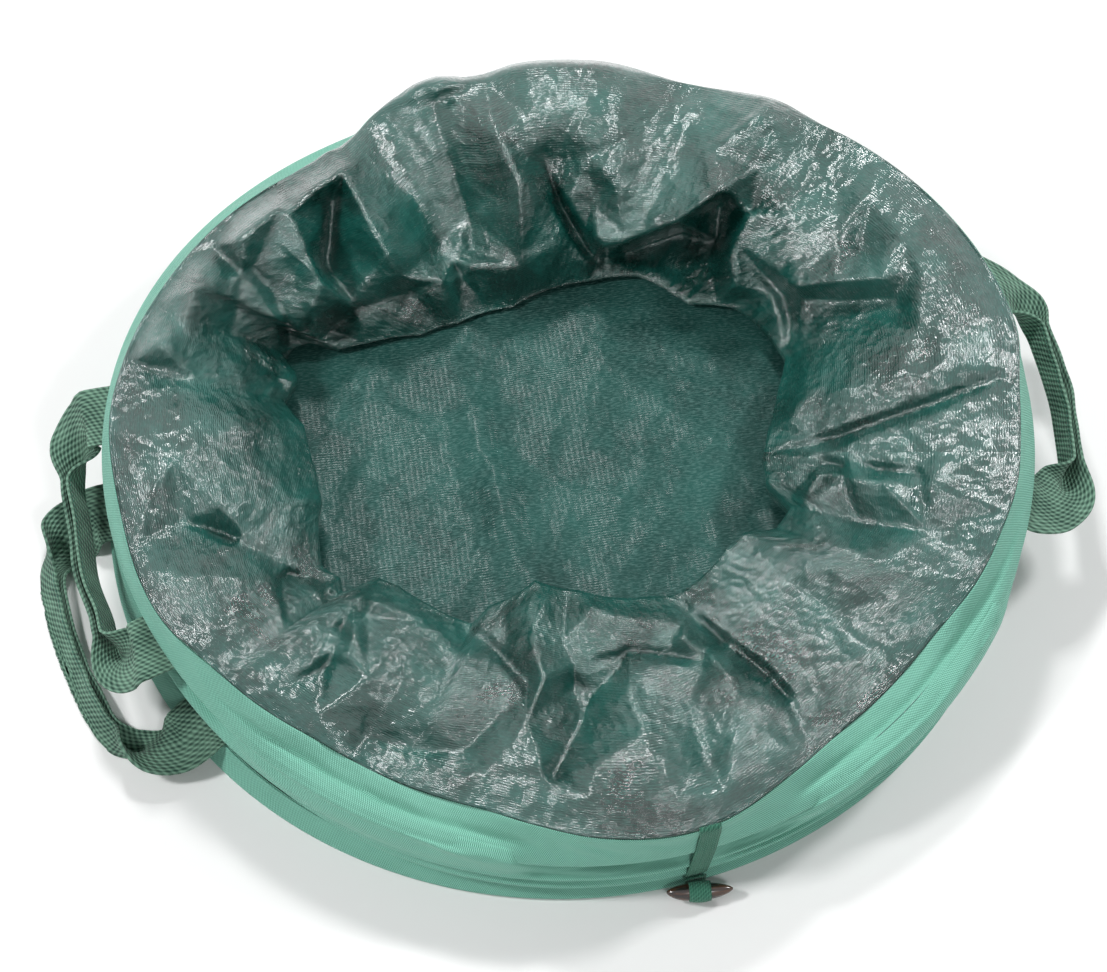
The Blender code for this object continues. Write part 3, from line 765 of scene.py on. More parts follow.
# Narrow dark creases: the same, each lying between two rails where the cloth is level again
creases = [
    [(793, 293, -9), (802, 323, -10), (801, 345, -6)],
    [(484, 630, -6), (513, 655, -9), (540, 683, -6)],
    [(832, 462, -6), (857, 467, -9), (895, 471, -8), (930, 474, -3)],
    [(1012, 377, -4), (954, 400, -8), (905, 418, -9), (857, 434, -10), (825, 445, -6)],
    [(318, 330, -6), (303, 354, -12), (296, 388, -8)],
    [(572, 204, -4), (590, 235, -9), (607, 256, -7)],
    [(372, 610, -3), (353, 632, -6), (342, 660, -3)],
    [(700, 614, -2), (740, 645, -5), (782, 678, -6), (802, 702, -3)],
    [(250, 541, -3), (298, 574, -7), (340, 582, -5)],
    [(640, 654, -2), (680, 657, -5), (715, 660, -2)],
    [(226, 246, -2), (262, 266, -4), (296, 316, -5)],
    [(470, 268, -2), (425, 292, -4), (368, 310, -4)],
]


# Rim casing: oxford folded round the rim hoop, its upper edge leaning as the photograph shows it

rimSettings = {
    "columns": 720,
    "band": 0.0240,  # wire to stitched edge, along the cloth
    "leanLow": -30.0,  # degrees that the band may lean, out and in from upright
    "leanHigh": 78.0,
    "leanTries": 37,
    "leanBack": 3.0,
    "leanSmoothing": 15,
    "tailGap": 0.0011,  # between the two tails at the edge
    "tailRows": 20,
    "foldRows": 9,
    "outerStart": 0.62,  # share of the strip's rows at which its outer side begins
    "scallop": 0.00035,
    "stitchInset": 0.0034,
    "grooveWidth": 0.0012,
    "grooveDepth": 0.0003,
    "pucker": 0.00035,
    "slack": 0.0009,
    "fullness": 0.0005,
    "flatWidth": 0.060,
    "ridgeFromEdge": 0.0150,  # the welt that closes the visible band, where the band lies back
    "ridgeHeight": 0.0026,
    "ridgeAbove": 0.0042,  # its reach towards the edge and towards the wire
    "ridgeBelow": 0.0016,
    "ridgeStep": 0.0009,  # the band is this much deeper below the welt
    "ridgeStepWidth": 0.002,
    "ridgeLean": (24.0, 40.0),  # degrees of lean over which the welt rises
    "ridgeSides": (150.0, 352.0),  # degrees round the ring between which it lies
    "ridgeFades": (20.0, 14.0),  # degrees over which it fades in at its first end and out at its last
}

# Edge of the rim casing against the liner, round the front, in pixels of the photograph
casingEdge = [
    (1025, 360), (1031.6, 405), (1032, 447), (1029, 491), (1012, 530), (991, 581), (949, 631.7),
    (907, 672.9), (858.4, 724.5), (815.5, 765.3), (774.7, 796), (758.4, 811.2), (719.6, 828.6),
    (691, 837.8), (642, 838.8), (591, 836.7), (558.7, 827), (532, 821), (499, 811.2), (465.8, 798.8),
    (432.7, 785.5), (383, 764.8), (339.8, 745.7), (289, 717.7), (255.8, 694.5), (231, 671), (206, 651.4),
    (182.9, 634.8), (165, 608), (152.7, 583.9), (141.9, 550.7), (136, 522.5), (127.8, 482.7),
    (122.8, 452.9), (120.3, 418), (127.8, 388), (136, 362), (146, 336), (158, 315), (173, 292),
    (212, 243), (261, 201), (319, 168), (382, 141),
]


def bandSeam(azimuth, leaning):
    # the stitched edge: the band's width from the wire, leaning inwards by the angle
    radius = bagSettings["hoopRadius"] - rimSettings["band"] * np.sin(leaning)
    return polar(azimuth, radius, rimHoopHeight(azimuth) + rimSettings["band"] * np.cos(leaning)) + sagVector


def findLean():
    # for each azimuth, the lean whose edge falls on the photograph's edge, seen from the middle of the mouth
    s = rimSettings
    middle = np.array(collarSettings["mouthMiddle"])
    azimuth = np.linspace(0, 2 * np.pi, 361)[:-1]
    tries = np.radians(np.linspace(s["leanLow"], s["leanHigh"], s["leanTries"]))
    pixels = pixelsOfPlaces(bandSeam(azimuth[None], tries[:, None])) - middle
    where = pixelAngle(pixels)
    edge = np.array(casingEdge) + collarSettings["shift"] - middle
    edgeWhere = pixelAngle(edge)
    wanted = readRound(where, edgeWhere, np.linalg.norm(edge, axis=1))
    nearest = np.argmin(np.abs(np.linalg.norm(pixels, axis=-1) - wanted), axis=0)
    # the edge list runs from just above 0 on the right, down round the front, to the left
    seenAt = where[nearest, np.arange(len(azimuth))]
    hidden = (seenAt > edgeWhere[0]) & (seenAt < edgeWhere[-1])
    best = np.where(hidden, math.radians(s["leanBack"]), tries[nearest])
    return azimuth, smoothRound(best, s["leanSmoothing"])


leanAzimuths, leanAngles = findLean()


def seamLean(azimuth):
    # the found leans, linear between them, all the way round
    return np.interp(azimuth, leanAzimuths, leanAngles, period=2 * np.pi)


def ridgeShare(azimuth):
    # smooth step of the band's lean, times a fade at both ends of the stretch
    s = rimSettings
    low, high = np.radians(s["ridgeLean"])
    step = np.clip((seamLean(azimuth) - low) / (high - low), 0, 1)
    turned = np.degrees(azimuth) % 360
    fadeIn = np.clip((turned - s["ridgeSides"][0]) / s["ridgeFades"][0], 0, 1)
    fadeOut = np.clip((s["ridgeSides"][1] - turned) / s["ridgeFades"][1], 0, 1)
    return smoothStep(step) * fadeIn * fadeOut


def foldedProfile(wire, seam, bore, gap, tailRows, foldRows):
    # a strip from the seam down its inner side, round the wire and up the outer side, as radius and height:
    # each side leaves the seam half a gap off the line to the wire, and touches the bore
    reach = seam - wire
    length = np.linalg.norm(reach, axis=-1)
    away = np.arctan2(reach[..., 1], reach[..., 0])
    leaning = np.arccos(np.clip((bore - gap / 2) / length, -1, 1))
    side = np.stack([-reach[..., 1], reach[..., 0]], -1) / length[..., None] * gap / 2
    first, last = away + leaning, away - leaning + 2 * np.pi
    turns = np.linspace(0, 1, foldRows)[:, None]
    angle = first + (last - first) * turns
    arc = wire + bore * np.stack([np.cos(angle), np.sin(angle)], -1)
    steps = np.linspace(0, 1, tailRows)[:, None, None]
    inner = (seam + side) * (1 - steps[:-1]) + arc[0] * steps[:-1]
    outer = arc[-1] * (1 - steps[1:]) + (seam - side) * steps[1:]
    return np.concatenate([inner, arc, outer], 0)


def fromProfile(azimuth, profile):
    # the profile's radius and height, carried round by the azimuth
    return polar(azimuth[None], profile[..., 0], profile[..., 1])


def gridNormals(places, closeColumns=True):
    # cross product of the steps along and across the grid
    if closeColumns:
        along = np.roll(places, -1, 1) - np.roll(places, 1, 1)
    else:
        along = np.gradient(places, axis=1)
    return unit(np.cross(along, np.gradient(places, axis=0)))


def outerSide(rows, start, arch=1.0):
    # a share that rises linearly over the outer side to 1 at the stitched edge, and a half sine over it
    down = np.linspace(0, 1, rows)[:, None]
    across = np.clip((down - start) / (1 - start), 0, 1)
    return across, np.sin(np.pi * (across * arch)) * (across > 0)


stitchSettings = {
    "sides": 6,
    "shares": (0.0, 0.12, 0.5, 0.88, 1.0),  # of the stitch's length, where its rings stand
    "sizes": (0.25, 0.8, 1.0, 0.8, 0.25),  # radius of each ring, and how far it stands out, in stitch radii
    "outs": (-0.7, 0.0, 0.35, 0.0, -0.7),
}


def stitchFaces(count):
    # quads round each capsule and two at each end, numbered on from stitch to stitch
    sides, rings = stitchSettings["sides"], len(stitchSettings["shares"])
    base = (np.arange(count) * sides * rings)[:, None, None]
    i, j = np.meshgrid(np.arange(rings - 1), np.arange(sides), indexing="ij")
    j2 = (j + 1) % sides
    corners = np.stack([i * sides + j, i * sides + j2, (i + 1) * sides + j2, (i + 1) * sides + j], -1)
    end = sides * (rings - 1)
    caps = [[0, 5, 4, 3], [0, 3, 2, 1], [end, end + 1, end + 2, end + 3], [end, end + 3, end + 4, end + 5]]
    return np.concatenate([corners.reshape(1, -1, 4) + base, np.array(caps)[None] + base], 1).reshape(-1, 4)


def makeStitches(name, line, normals, material, slotName, size=(0.0034, 0.0025, 0.00042), **going):
    # one short capsule for each stitch, laid along a line on the cloth: a ring at each share of its length.
    # The size is the pitch, the stitch's length and its radius.
    s = stitchSettings
    pitch, length, radius = size
    far = lengthsAlong(line)
    count = int(far[-1] / pitch)
    ends = (np.arange(count) + 0.5) * pitch

    def read(values, at):
        # values of the line at distances along it
        return np.stack([np.interp(at, far, values[:, i]) for i in range(3)], -1)
    a, b = read(line, ends - length / 2), read(line, ends + length / 2)
    up = unit(read(normals, ends))
    side = np.cross(unit(b - a), up)
    shares, sizes, outs = (np.array(s[key])[None, :, None] for key in ("shares", "sizes", "outs"))
    turn = (np.arange(s["sides"]) * 2 * np.pi / s["sides"])[None, None, :, None]
    middle = a[:, None] + (b - a)[:, None] * shares + up[:, None] * (outs * radius)
    ring = side[:, None, None] * np.cos(turn) + up[:, None, None] * np.sin(turn)
    points = middle[:, :, None] + ring * (sizes * radius)[..., None]
    mesh = bpy.data.meshes.new(name)
    mesh.from_pydata(points.reshape(-1, 3).tolist(), [], stitchFaces(count).tolist())
    mesh.shade_smooth()
    return finishPiece(linkObject(name, mesh), material, slotName, **going)


def stitchStrip(name, places, normals, row, closed, **going):
    # stitches along one row of an oxford strip, half its thickness out from the middle of the cloth
    line, outward = places[row] - normals[row] * (bagSettings["cloth"] / 2), -normals[row]
    if closed:
        line, outward = np.vstack([line, line[:1]]), np.vstack([outward, outward[:1]])
    makeStitches(name, line, outward, thread, "oxford", **going)


def ridgeHeight(across, azimuth):
    # a bell with a steep side towards the wire, less a step below it, times its share round the ring
    s = rimSettings
    fromEdge = (1 - across) * s["band"] - s["ridgeFromEdge"]
    welt = np.where(fromEdge < 0, bell(fromEdge / s["ridgeAbove"]), bell(fromEdge / s["ridgeBelow"]))
    welt = welt * s["ridgeHeight"] - s["ridgeStep"] * np.clip(fromEdge / s["ridgeStepWidth"], 0, 1)
    return welt * ridgeShare(azimuth)[None] * (across > 0)


def makeRimCasing():
    # the folded profile carried round the ring, its outer side moved out by slack, ripples, a stitched groove
    # and the welt
    s, b = rimSettings, bagSettings
    azimuth = np.linspace(0, 2 * np.pi, s["columns"], endpoint=False)
    share = azimuth / (2 * np.pi)
    seam = bandSeam(azimuth, seamLean(azimuth)) - sagVector
    scallop = waves(share, 1.0, 26, s["scallop"], rng, 0.2)
    seam = np.stack([np.hypot(seam[:, 0], seam[:, 1]), seam[:, 2] + scallop], -1)
    wire = np.stack([np.full_like(azimuth, b["hoopRadius"]), rimHoopHeight(azimuth)], -1)
    bore = b["hoopBore"] + b["cloth"] / 2
    profile = foldedProfile(wire, seam, bore, s["tailGap"], s["tailRows"], s["foldRows"])
    places = fromProfile(azimuth, profile)
    normals = gridNormals(places)
    across, crown = outerSide(len(profile), s["outerStart"])
    ripple = surfaceNoise(share[None] + 0.02 * across, across, 150, 2, rng) * s["pucker"]
    ripple += surfaceNoise(share[None] - 0.03 * across, across, 34, 1, rng) * s["slack"]
    fromStitches = ((1 - across) * s["band"] - s["stitchInset"]) / s["grooveWidth"]
    groove = bell(fromStitches) * s["grooveDepth"] * (across > 0)
    out = (ripple + s["fullness"]) * crown - groove + ridgeHeight(across, azimuth)
    places = places - normals * out[..., None] + sagVector
    piece = addMesh("rimCasing", places, clothUv(places, closeColumns=True), closeColumns=True, flip=True)
    applyModifiers(thicken(piece, b["cloth"]))
    finishPiece(piece, oxford, "oxford", body="rim", replaced=["rim_casing"])
    row = len(profile) - 1 - int(round(s["stitchInset"] / s["band"] * (s["tailRows"] - 1)))
    stitchStrip("rimStitches", places, normals, row, True, body="rim")


ferruleSettings = {
    "ends": (3.55, 3.655),  # radians round the rim
    "rings": 17,
    "radius": 0.0020,
    "endRadius": 0.0016,
    "wall": 0.0003,
    "crimps": (5, 11),  # rings at which it is pinched
    "crimpDepth": 0.12,
    "crimpReach": 0.8,
}


def tube(path, radius, sides, closed=False):
    # rings round each point of the path, square to it
    ahead = np.roll(path, -1, 0) - np.roll(path, 1, 0) if closed else np.gradient(path, axis=0)
    run = unit(ahead)
    side = unit(np.cross(run, upward))
    up = np.cross(side, run)
    turn = np.linspace(0, 2 * np.pi, sides, endpoint=False)
    radius = np.broadcast_to(radius, len(path))
    ring = side[:, None] * np.cos(turn)[None, :, None] + up[:, None] * np.sin(turn)[None, :, None]
    return path[:, None] + ring * radius[:, None, None]


def makeRimHoop():
    # spring wire ring with its crimped ferrule, inside the casing; each crimp takes a bell off the radius
    s, b = ferruleSettings, bagSettings
    azimuth = np.linspace(0, 2 * np.pi, 240, endpoint=False)
    path = polar(azimuth, b["hoopRadius"], rimHoopHeight(azimuth)) + sagVector
    wire = tube(path, b["wireRadius"], 10, True)
    ring = addMesh("rimHoop", wire, closeRows=True, closeColumns=True, flip=True)
    finishPiece(ring, steel, "spring_steel", body="rim", replaced=["rim_hoop"])
    at = np.linspace(*s["ends"], s["rings"])
    path = polar(at, b["hoopRadius"], rimHoopHeight(at)) + sagVector
    size = np.r_[s["endRadius"], np.full(s["rings"] - 2, s["radius"]), s["endRadius"]]
    for crimp in s["crimps"]:
        size = size * (1 - s["crimpDepth"] * bell((np.arange(s["rings"]) - crimp) / s["crimpReach"]))
    body = addMesh("rimFerrule", tube(path, size, 16), closeColumns=True, flip=True)
    applyModifiers(thicken(body, s["wall"], -1.0))
    finishPiece(body, ferrule, "ferrule", body="rim", replaced=["rim_hoop_ferrule"])


# Base casing, floor panel, wall, and the coil in its sleeve

baseSettings = {
    "wireHeight": 0.0031,
    "wireInset": 0.0002,
    "tailRadius": 0.2735,
    "tailHeight": 0.0122,  # above the wire, on average
    "tailGap": 0.0011,
    "tailRows": 12,
    "foldRows": 9,
    "scallop": 0.0004,
    "outerStart": 0.62,
    "flatWidth": 0.041,
    "pucker": 0.0003,
    "slack": 0.0006,
    "fullness": 0.0004,
    "floorGap": 0.0003,
    "stitchRow": 4,  # counted back from the edge
}


def makeBaseCasing():
    # the folded profile carried round the ring, its outer side moved out by slack and ripples
    s, b = baseSettings, bagSettings
    azimuth = np.linspace(0, 2 * np.pi, rimSettings["columns"], endpoint=False)
    share = azimuth / (2 * np.pi)
    top = s["wireHeight"] + s["tailHeight"] * rise(azimuth) + waves(share, 1.0, 18, s["scallop"], rng, 0.2)
    seam = np.stack([np.full_like(azimuth, s["tailRadius"]), top], -1)
    wire = np.broadcast_to([b["hoopRadius"] - s["wireInset"], s["wireHeight"]], seam.shape)
    bore = b["hoopBore"] + b["cloth"] / 2
    profile = foldedProfile(wire, seam, bore, s["tailGap"], s["tailRows"], s["foldRows"])
    places = fromProfile(azimuth, profile)
    normals = gridNormals(places)
    across, crown = outerSide(len(profile), s["outerStart"])
    ripple = surfaceNoise(share[None] + 0.015 * across, across, 130, 2, rng) * s["pucker"]
    ripple += surfaceNoise(share[None], across, 30, 1, rng) * s["slack"]
    places = lean(places - normals * ((ripple + s["fullness"]) * crown)[..., None])
    places[..., 2] = np.maximum(places[..., 2], s["floorGap"])
    piece = addMesh("baseCasing", places, clothUv(places, closeColumns=True), closeColumns=True, flip=True)
    applyModifiers(thicken(piece, b["cloth"]))
    finishPiece(piece, oxford, "oxford", body="base", replaced=["base_casing"])
    stitchStrip("baseStitches", places, normals, len(profile) - s["stitchRow"], True, body="base")


panelSettings = {
    "rings": 96,
    "spokes": 360,
    "ringCrowding": 0.8,  # power below 1, which crowds the rings at the edge
    "edgeHeight": 0.0016,
    "thickness": 0.0006,
    "weld": 0.00005,
    "wrinkles": 26,
    "wrinkleSizes": (18, 75),  # radians to a metre
    "wrinkleHeight": 0.00528,
    "bend": 0.6,
    "bendSize": 0.4,
    "slack": 0.0065,
    "creaseMiddle": (-0.035, -0.02),  # metres across and away from the camera
    "creaseSlope": 0.30,
    "creaseWidth": 0.014,
    "creaseAway": -0.01,  # middle and reach of the crease away from the camera
    "creaseReach": 0.09,
    "swells": ((0.003, 0.05, 0.05, 0.03, 0.07), (0.002, -0.1, 0.04, 0.02, 0.06)),
    "calmRadius": 0.215,
    "fadeWidth": 0.06,
}


def panelHeight(across, away):
    # sharp wrinkles at random headings (a cube of one less a bent sine's size), a crease, and two low swells
    s = panelSettings
    height = np.zeros_like(across)
    for _ in range(s["wrinkles"]):
        heading, size = rng.uniform(0, 2 * np.pi), rng.uniform(*s["wrinkleSizes"])
        phase = rng.uniform(0, 2 * np.pi)
        along = across * math.cos(heading) + away * math.sin(heading)
        beside = across * -math.sin(heading) + away * math.cos(heading)
        bend = s["bend"] * np.sin(beside * size * s["bendSize"])
        height += (1 - np.abs(np.sin(along * size + bend + phase))) ** 3 / size
    height = height / height.max() * s["wrinkleHeight"]
    crease = across - s["creaseMiddle"][0] + (away - s["creaseMiddle"][1]) * s["creaseSlope"]
    height += s["slack"] * bell(crease / s["creaseWidth"]) * bell((away - s["creaseAway"]) / s["creaseReach"])
    for tall, x, wide, y, deep in s["swells"]:
        height += tall * bell((across - x) / wide) * bell((away - y) / deep)
    return height


def makePanel():
    # a disc whose wrinkles and slack die out linearly towards its edge
    s = panelSettings
    radius = np.linspace(0, 1, s["rings"])[:, None] ** s["ringCrowding"] * bagSettings["wallRadius"]
    azimuth = np.linspace(0, 2 * np.pi, s["spokes"], endpoint=False)[None]
    places = polar(azimuth, radius, 0.0)
    height = panelHeight(places @ cameraRight, places @ np.array([-cameraRight[1], cameraRight[0], 0]))
    fade = np.clip((s["calmRadius"] - np.linalg.norm(places, axis=-1)) / s["fadeWidth"], 0, 1)
    places[..., 2] = s["edgeHeight"] + height * fade
    wrapped = np.take(places, range(s["spokes"] + 1), 1, mode="wrap")
    piece = addMesh("basePanel", places, (wrapped[..., 0], wrapped[..., 1]), closeColumns=True)
    thicken(piece, s["thickness"], -1.0)
    weld = piece.modifiers.new("middle", "WELD")
    weld.merge_threshold = s["weld"]
    applyModifiers(piece)
    finishPiece(piece, floorCloth, "liner", body="base", replaced=["base_panel"])


stackBlend = ("base", "rim", *bagSettings["blendHeights"])

coilSettings = {
    "turns": 2,
    "startAngle": math.radians(60),
    "startHeight": 0.0205,
    "pitch": 0.013,
    "radius": 0.2794,
    "steps": 420,
    "tip": 0.0002,
    "droop": 0.0022,
    "droopSide": math.radians(262),
    "slitSide": math.radians(218),
    "slitReach": math.radians(24),
    "slitOpen": 0.0036,
    "slitDepth": 0.008,
    # piece, CAD node, share of the turns and direction
    "caps": (("lowerCap", "lower_end_cap", 0, -1), ("upperCap", "upper_end_cap", 1, 1)),
    "capLength": 0.012,
    "capSkin": 0.0006,
    "capRings": 14,
}

wallSettings = {
    "columns": 540,
    "rows": 26,
    "bottom": 0.0022,
    "aboveHoop": 0.004,
    "inset": 0.0012,
    "thickness": 0.0004,
    "fineFold": 0.0007,
    "broadFold": 0.0009,
    "drawnIn": 1.6,  # the part drawn in at the slit ends this much sooner than the wall
    "flatDepth": 0.062,
}


def slitShare(azimuth):
    # a bell round the side where the turns stand apart
    s = coilSettings
    return bell(((azimuth - s["slitSide"] + np.pi) % (2 * np.pi) - np.pi) / s["slitReach"])


def makeWall():
    # a slack tube between the hoops: its radius less half sines of the folds and of the part drawn in
    s, radius = wallSettings, bagSettings["wallRadius"]
    azimuth = np.linspace(0, 2 * np.pi, s["columns"], endpoint=False)[None]
    share = azimuth / (2 * np.pi)
    up = np.linspace(0, 1, s["rows"])[:, None]
    height = s["bottom"] + (rimHoopHeight(azimuth) + s["aboveHoop"] - s["bottom"]) * up
    fold = surfaceNoise(share + 0.02 * up, up, 90, 4, rng) * s["fineFold"]
    fold += surfaceNoise(share, up, 30, 2, rng) * s["broadFold"]
    drawn = coilSettings["slitDepth"] * slitShare(azimuth) * np.sin(np.pi * np.clip(up * s["drawnIn"], 0, 1))
    places = lean(polar(azimuth, radius - s["inset"] - drawn - np.abs(fold) * np.sin(np.pi * up), height))
    piece = addMesh("outerWall", places, clothUv(places, closeColumns=True), closeColumns=True)
    applyModifiers(thicken(piece, s["thickness"]))
    finishPiece(piece, liner, "liner", between=stackBlend, replaced=["bag_wall"])


def coilHeight(turned):
    # the coil climbs one pitch in each turn, squeezed by the saddle, droops towards the front,
    # and its turns stand apart where the photograph shows a slit between them
    s = coilSettings
    plain = s["startHeight"] + s["pitch"] * turned / (2 * np.pi)
    azimuth = s["startAngle"] + turned
    level = plain * rise(azimuth) - s["droop"] * (0.5 + 0.5 * np.cos(azimuth - s["droopSide"]))
    opening = slitShare(azimuth) * s["slitOpen"]
    return level + np.where(turned < 2 * np.pi, -opening, opening * 0.6)


def coilRadius(turned):
    # the first turn is drawn in where the slit is
    s = coilSettings
    depth = np.where(turned < 2 * np.pi, s["slitDepth"], 0.0)
    return s["radius"] - depth * slitShare(s["startAngle"] + turned)


def makeCoil():
    # a tube of the wire along the coil, and on each end a cap that closes like a sixth power
    s, b = coilSettings, bagSettings
    turned = np.linspace(0, 2 * np.pi * s["turns"], s["steps"])
    path = lean(polar(s["startAngle"] + turned, coilRadius(turned), coilHeight(turned)))
    size = np.r_[s["tip"], np.full(s["steps"] - 2, b["wireRadius"]), s["tip"]]
    wire = addMesh("coilSpring", tube(path, size, 10), closeColumns=True, flip=True)
    finishPiece(wire, steel, "spring_steel", between=stackBlend, replaced=["coil_spring"])
    for name, node, share, sign in s["caps"]:
        t = turned[-1] * share + sign * np.linspace(-0.001, s["capLength"] / s["radius"], s["capRings"])
        cap = lean(polar(s["startAngle"] + t, s["radius"], coilHeight(t)))
        size = np.sqrt(np.clip(1 - np.linspace(-0.2, 1, s["capRings"]) ** 6, 0.002, 1))
        size = (b["wireRadius"] + s["capSkin"]) * size
        piece = addMesh(name, tube(cap, size, 14), closeColumns=True, flip=sign > 0)
        finishPiece(piece, softCap, "cap", between=stackBlend, replaced=[node])


sleeveSettings = {
    # piece, CAD node and flat width in metres
    "pieces": (("lowerSleeve", "lower_sleeve", 0.031), ("upperSleeve", "upper_sleeve", 0.041)),
    "columns": 700,
    "endGap": 0.01,  # radians
    "band": 0.0128,
    "tailRadius": 0.2737,
    "tailGap": 0.0009,
    "tailRows": 16,
    "foldRows": 8,
    "skin": 0.0011,  # over the wire
    "scallop": 0.0003,
    "underHoop": 0.0005,  # how the edges pass the hoop and the coil's next turn
    "overTurn": 0.003,
    "slitShortening": 0.55,
    "outerStart": 0.6,
    "arch": 0.8,
    "slack": 0.0034,
    "pucker": 0.0006,
    "fullness": 0.0010,
    "deepest": 0.0008,
    "belly": 0.0022,
    "overHoop": 0.0012,  # the slack cloth over the rim's wire
    "beside": (1.0, 0.05),  # its way past the wire, in skins out and up
    "above": (0.25, 0.10),
    "topGap": 0.0022,
    "topSkin": 0.62,
}


def slackTop(azimuth):
    # the slack cloth's way from beside the rim's wire up to the welt of the rim band, as radius and height
    s, r, b = sleeveSettings, rimSettings, bagSettings
    leaning = seamLean(azimuth)
    outward = np.stack([np.cos(leaning), np.sin(leaning)], -1)
    along = np.stack([-np.sin(leaning), np.cos(leaning)], -1)
    wire = np.stack([np.full_like(azimuth, b["hoopRadius"]), rimHoopHeight(azimuth)], -1)
    skin = b["hoopBore"] + b["cloth"] + s["overHoop"]
    beside = wire + skin * np.array(s["beside"])
    above = wire + skin * unit(outward + np.array(s["above"]))
    top = wire + outward * (skin * s["topSkin"]) + along * (r["band"] - r["ridgeFromEdge"] - s["topGap"])
    return np.stack([beside, above, top], 0)


def sleeveProfile(turned, upper):
    # a strip folded round the coil, its edge a band's height up, or at what lies over it where that is lower
    s, c = sleeveSettings, coilSettings
    azimuth = c["startAngle"] + turned
    low = coilHeight(turned) + waves(turned / (2 * np.pi), 1.0, 9, s["scallop"], rng, 0.3)
    wire = np.stack([coilRadius(turned), low], -1)
    drawn = slitShare(azimuth) * (not upper)
    if upper:
        ceiling = rimHoopHeight(azimuth) - s["underHoop"]
    else:
        ceiling = coilHeight(turned + 2 * np.pi) + s["overTurn"]
    top = np.minimum(low + s["band"] * rise(azimuth) * (1 - s["slitShortening"] * drawn), ceiling)
    tail = np.stack([s["tailRadius"] - c["slitDepth"] * drawn, top], -1)
    bore = bagSettings["wireRadius"] + s["skin"]
    profile = foldedProfile(wire, tail, bore, s["tailGap"], s["tailRows"], s["foldRows"])
    if upper:
        # where the rim band lies back, the outer layer runs on over the rim's wire
        raised = slackTop(azimuth)
        start = profile[-s["tailRows"]]
        hang = 0.5 * (start + raised[0]) + np.array([s["belly"], 0.0])
        points = np.concatenate([start[None], hang[None], raised], 0)
        slackRun = throughPoints(points, np.linspace(0, len(points) - 1, s["tailRows"]))
        weight = ridgeShare(azimuth)[None, :, None]
        profile[-s["tailRows"]:] = profile[-s["tailRows"]:] * (1 - weight) + slackRun * weight
    return profile


def makeSleeves():
    # each strip's outer side moved out by slack and puckers, which are calm under the tapes
    s, c = sleeveSettings, coilSettings
    for k, (name, node, width) in enumerate(s["pieces"]):
        turned = np.linspace(s["endGap"], 2 * np.pi - s["endGap"], s["columns"]) + 2 * np.pi * k
        share = turned / (2 * np.pi)
        azimuth = c["startAngle"] + turned
        profile = sleeveProfile(turned, k == 1)
        places = fromProfile(azimuth, profile)
        normals = gridNormals(places, False)
        across, crown = outerSide(len(profile), s["outerStart"], s["arch"])
        slack = surfaceNoise(share[None] + 0.05 * across, across, 36, 2, rng) * s["slack"]
        slack += surfaceNoise(share[None] - 0.04 * across, across, 110, 3, rng) * s["pucker"]
        slack = np.maximum(slack + s["fullness"], -s["deepest"]) * calmShare(azimuth)[None]
        places = lean(places - normals * (slack * crown)[..., None])
        piece = addMesh(name, places, clothUv(places), flip=True)
        applyModifiers(thicken(piece, bagSettings["cloth"]))
        finishPiece(piece, oxford, "oxford", between=stackBlend, replaced=[node])
        row = s["tailRows"] + s["foldRows"] + 1
        stitchStrip(name + "Stitches", places, normals, row, False, between=stackBlend)


def rasterise(points, values):
    # heights spread linearly over a Delaunay mesh of the points, drawn into the image's own pixels
    width, height = cameraSettings["imageWidth"], cameraSettings["imageHeight"]
    places, _, faces, origins, _, _ = geometry.delaunay_2d_cdt([Vector(p) for p in points], [], [], 0, 1e-6)
    level = np.array([values[source[0]] if source else 0.0 for source in origins])
    places = np.array([tuple(p) for p in places])
    picture = np.zeros((height, width))
    for face in faces:
        a, b, c = places[face[0]], places[face[1]], places[face[2]]
        area = (b[0] - a[0]) * (c[1] - a[1]) - (b[1] - a[1]) * (c[0] - a[0])
        if abs(area) < 1e-9:
            continue
        x0, x1 = max(0, math.floor(min(a[0], b[0], c[0]))), min(width - 1, math.ceil(max(a[0], b[0], c[0])))
        y0, y1 = max(0, math.floor(min(a[1], b[1], c[1]))), min(height - 1, math.ceil(max(a[1], b[1], c[1])))
        if x1 < x0 or y1 < y0:
            continue
        x, y = np.meshgrid(np.arange(x0, x1 + 1), np.arange(y0, y1 + 1))
        v = ((x - a[0]) * (c[1] - a[1]) - (y - a[1]) * (c[0] - a[0])) / area
        w = ((b[0] - a[0]) * (y - a[1]) - (b[1] - a[1]) * (x - a[0])) / area
        inside = (v >= -1e-6) & (w >= -1e-6) & (v + w <= 1 + 1e-6)
        value = level[face[0]] + v * (level[face[1]] - level[face[0]]) + w * (level[face[2]] - level[face[0]])
        picture[y[inside], x[inside]] = value[inside]
    return picture


def soften(picture, radius):
    # a window of two boxes, one run over the other, down and then across the picture
    reach = max(1, int(round(radius)))
    kernel = np.convolve(np.ones(reach * 2 + 1), np.ones(reach * 2 + 1))
    kernel /= kernel.sum()
    for axis in (0, 1):
        picture = np.apply_along_axis(lambda line: np.convolve(line, kernel, "same"), axis, picture)
    return picture


def sample(picture, pixels):
    # bilinear reading of a picture between its pixels
    x = np.clip(pixels[..., 0], 0, picture.shape[1] - 1.001)
    y = np.clip(pixels[..., 1], 0, picture.shape[0] - 1.001)
    i, j = x.astype(int), y.astype(int)
    fx, fy = x - i, y - j
    low = picture[j, i] * (1 - fx) + picture[j, i + 1] * fx
    high = picture[j + 1, i] * (1 - fx) + picture[j + 1, i + 1] * fx
    return low * (1 - fy) + high * fy


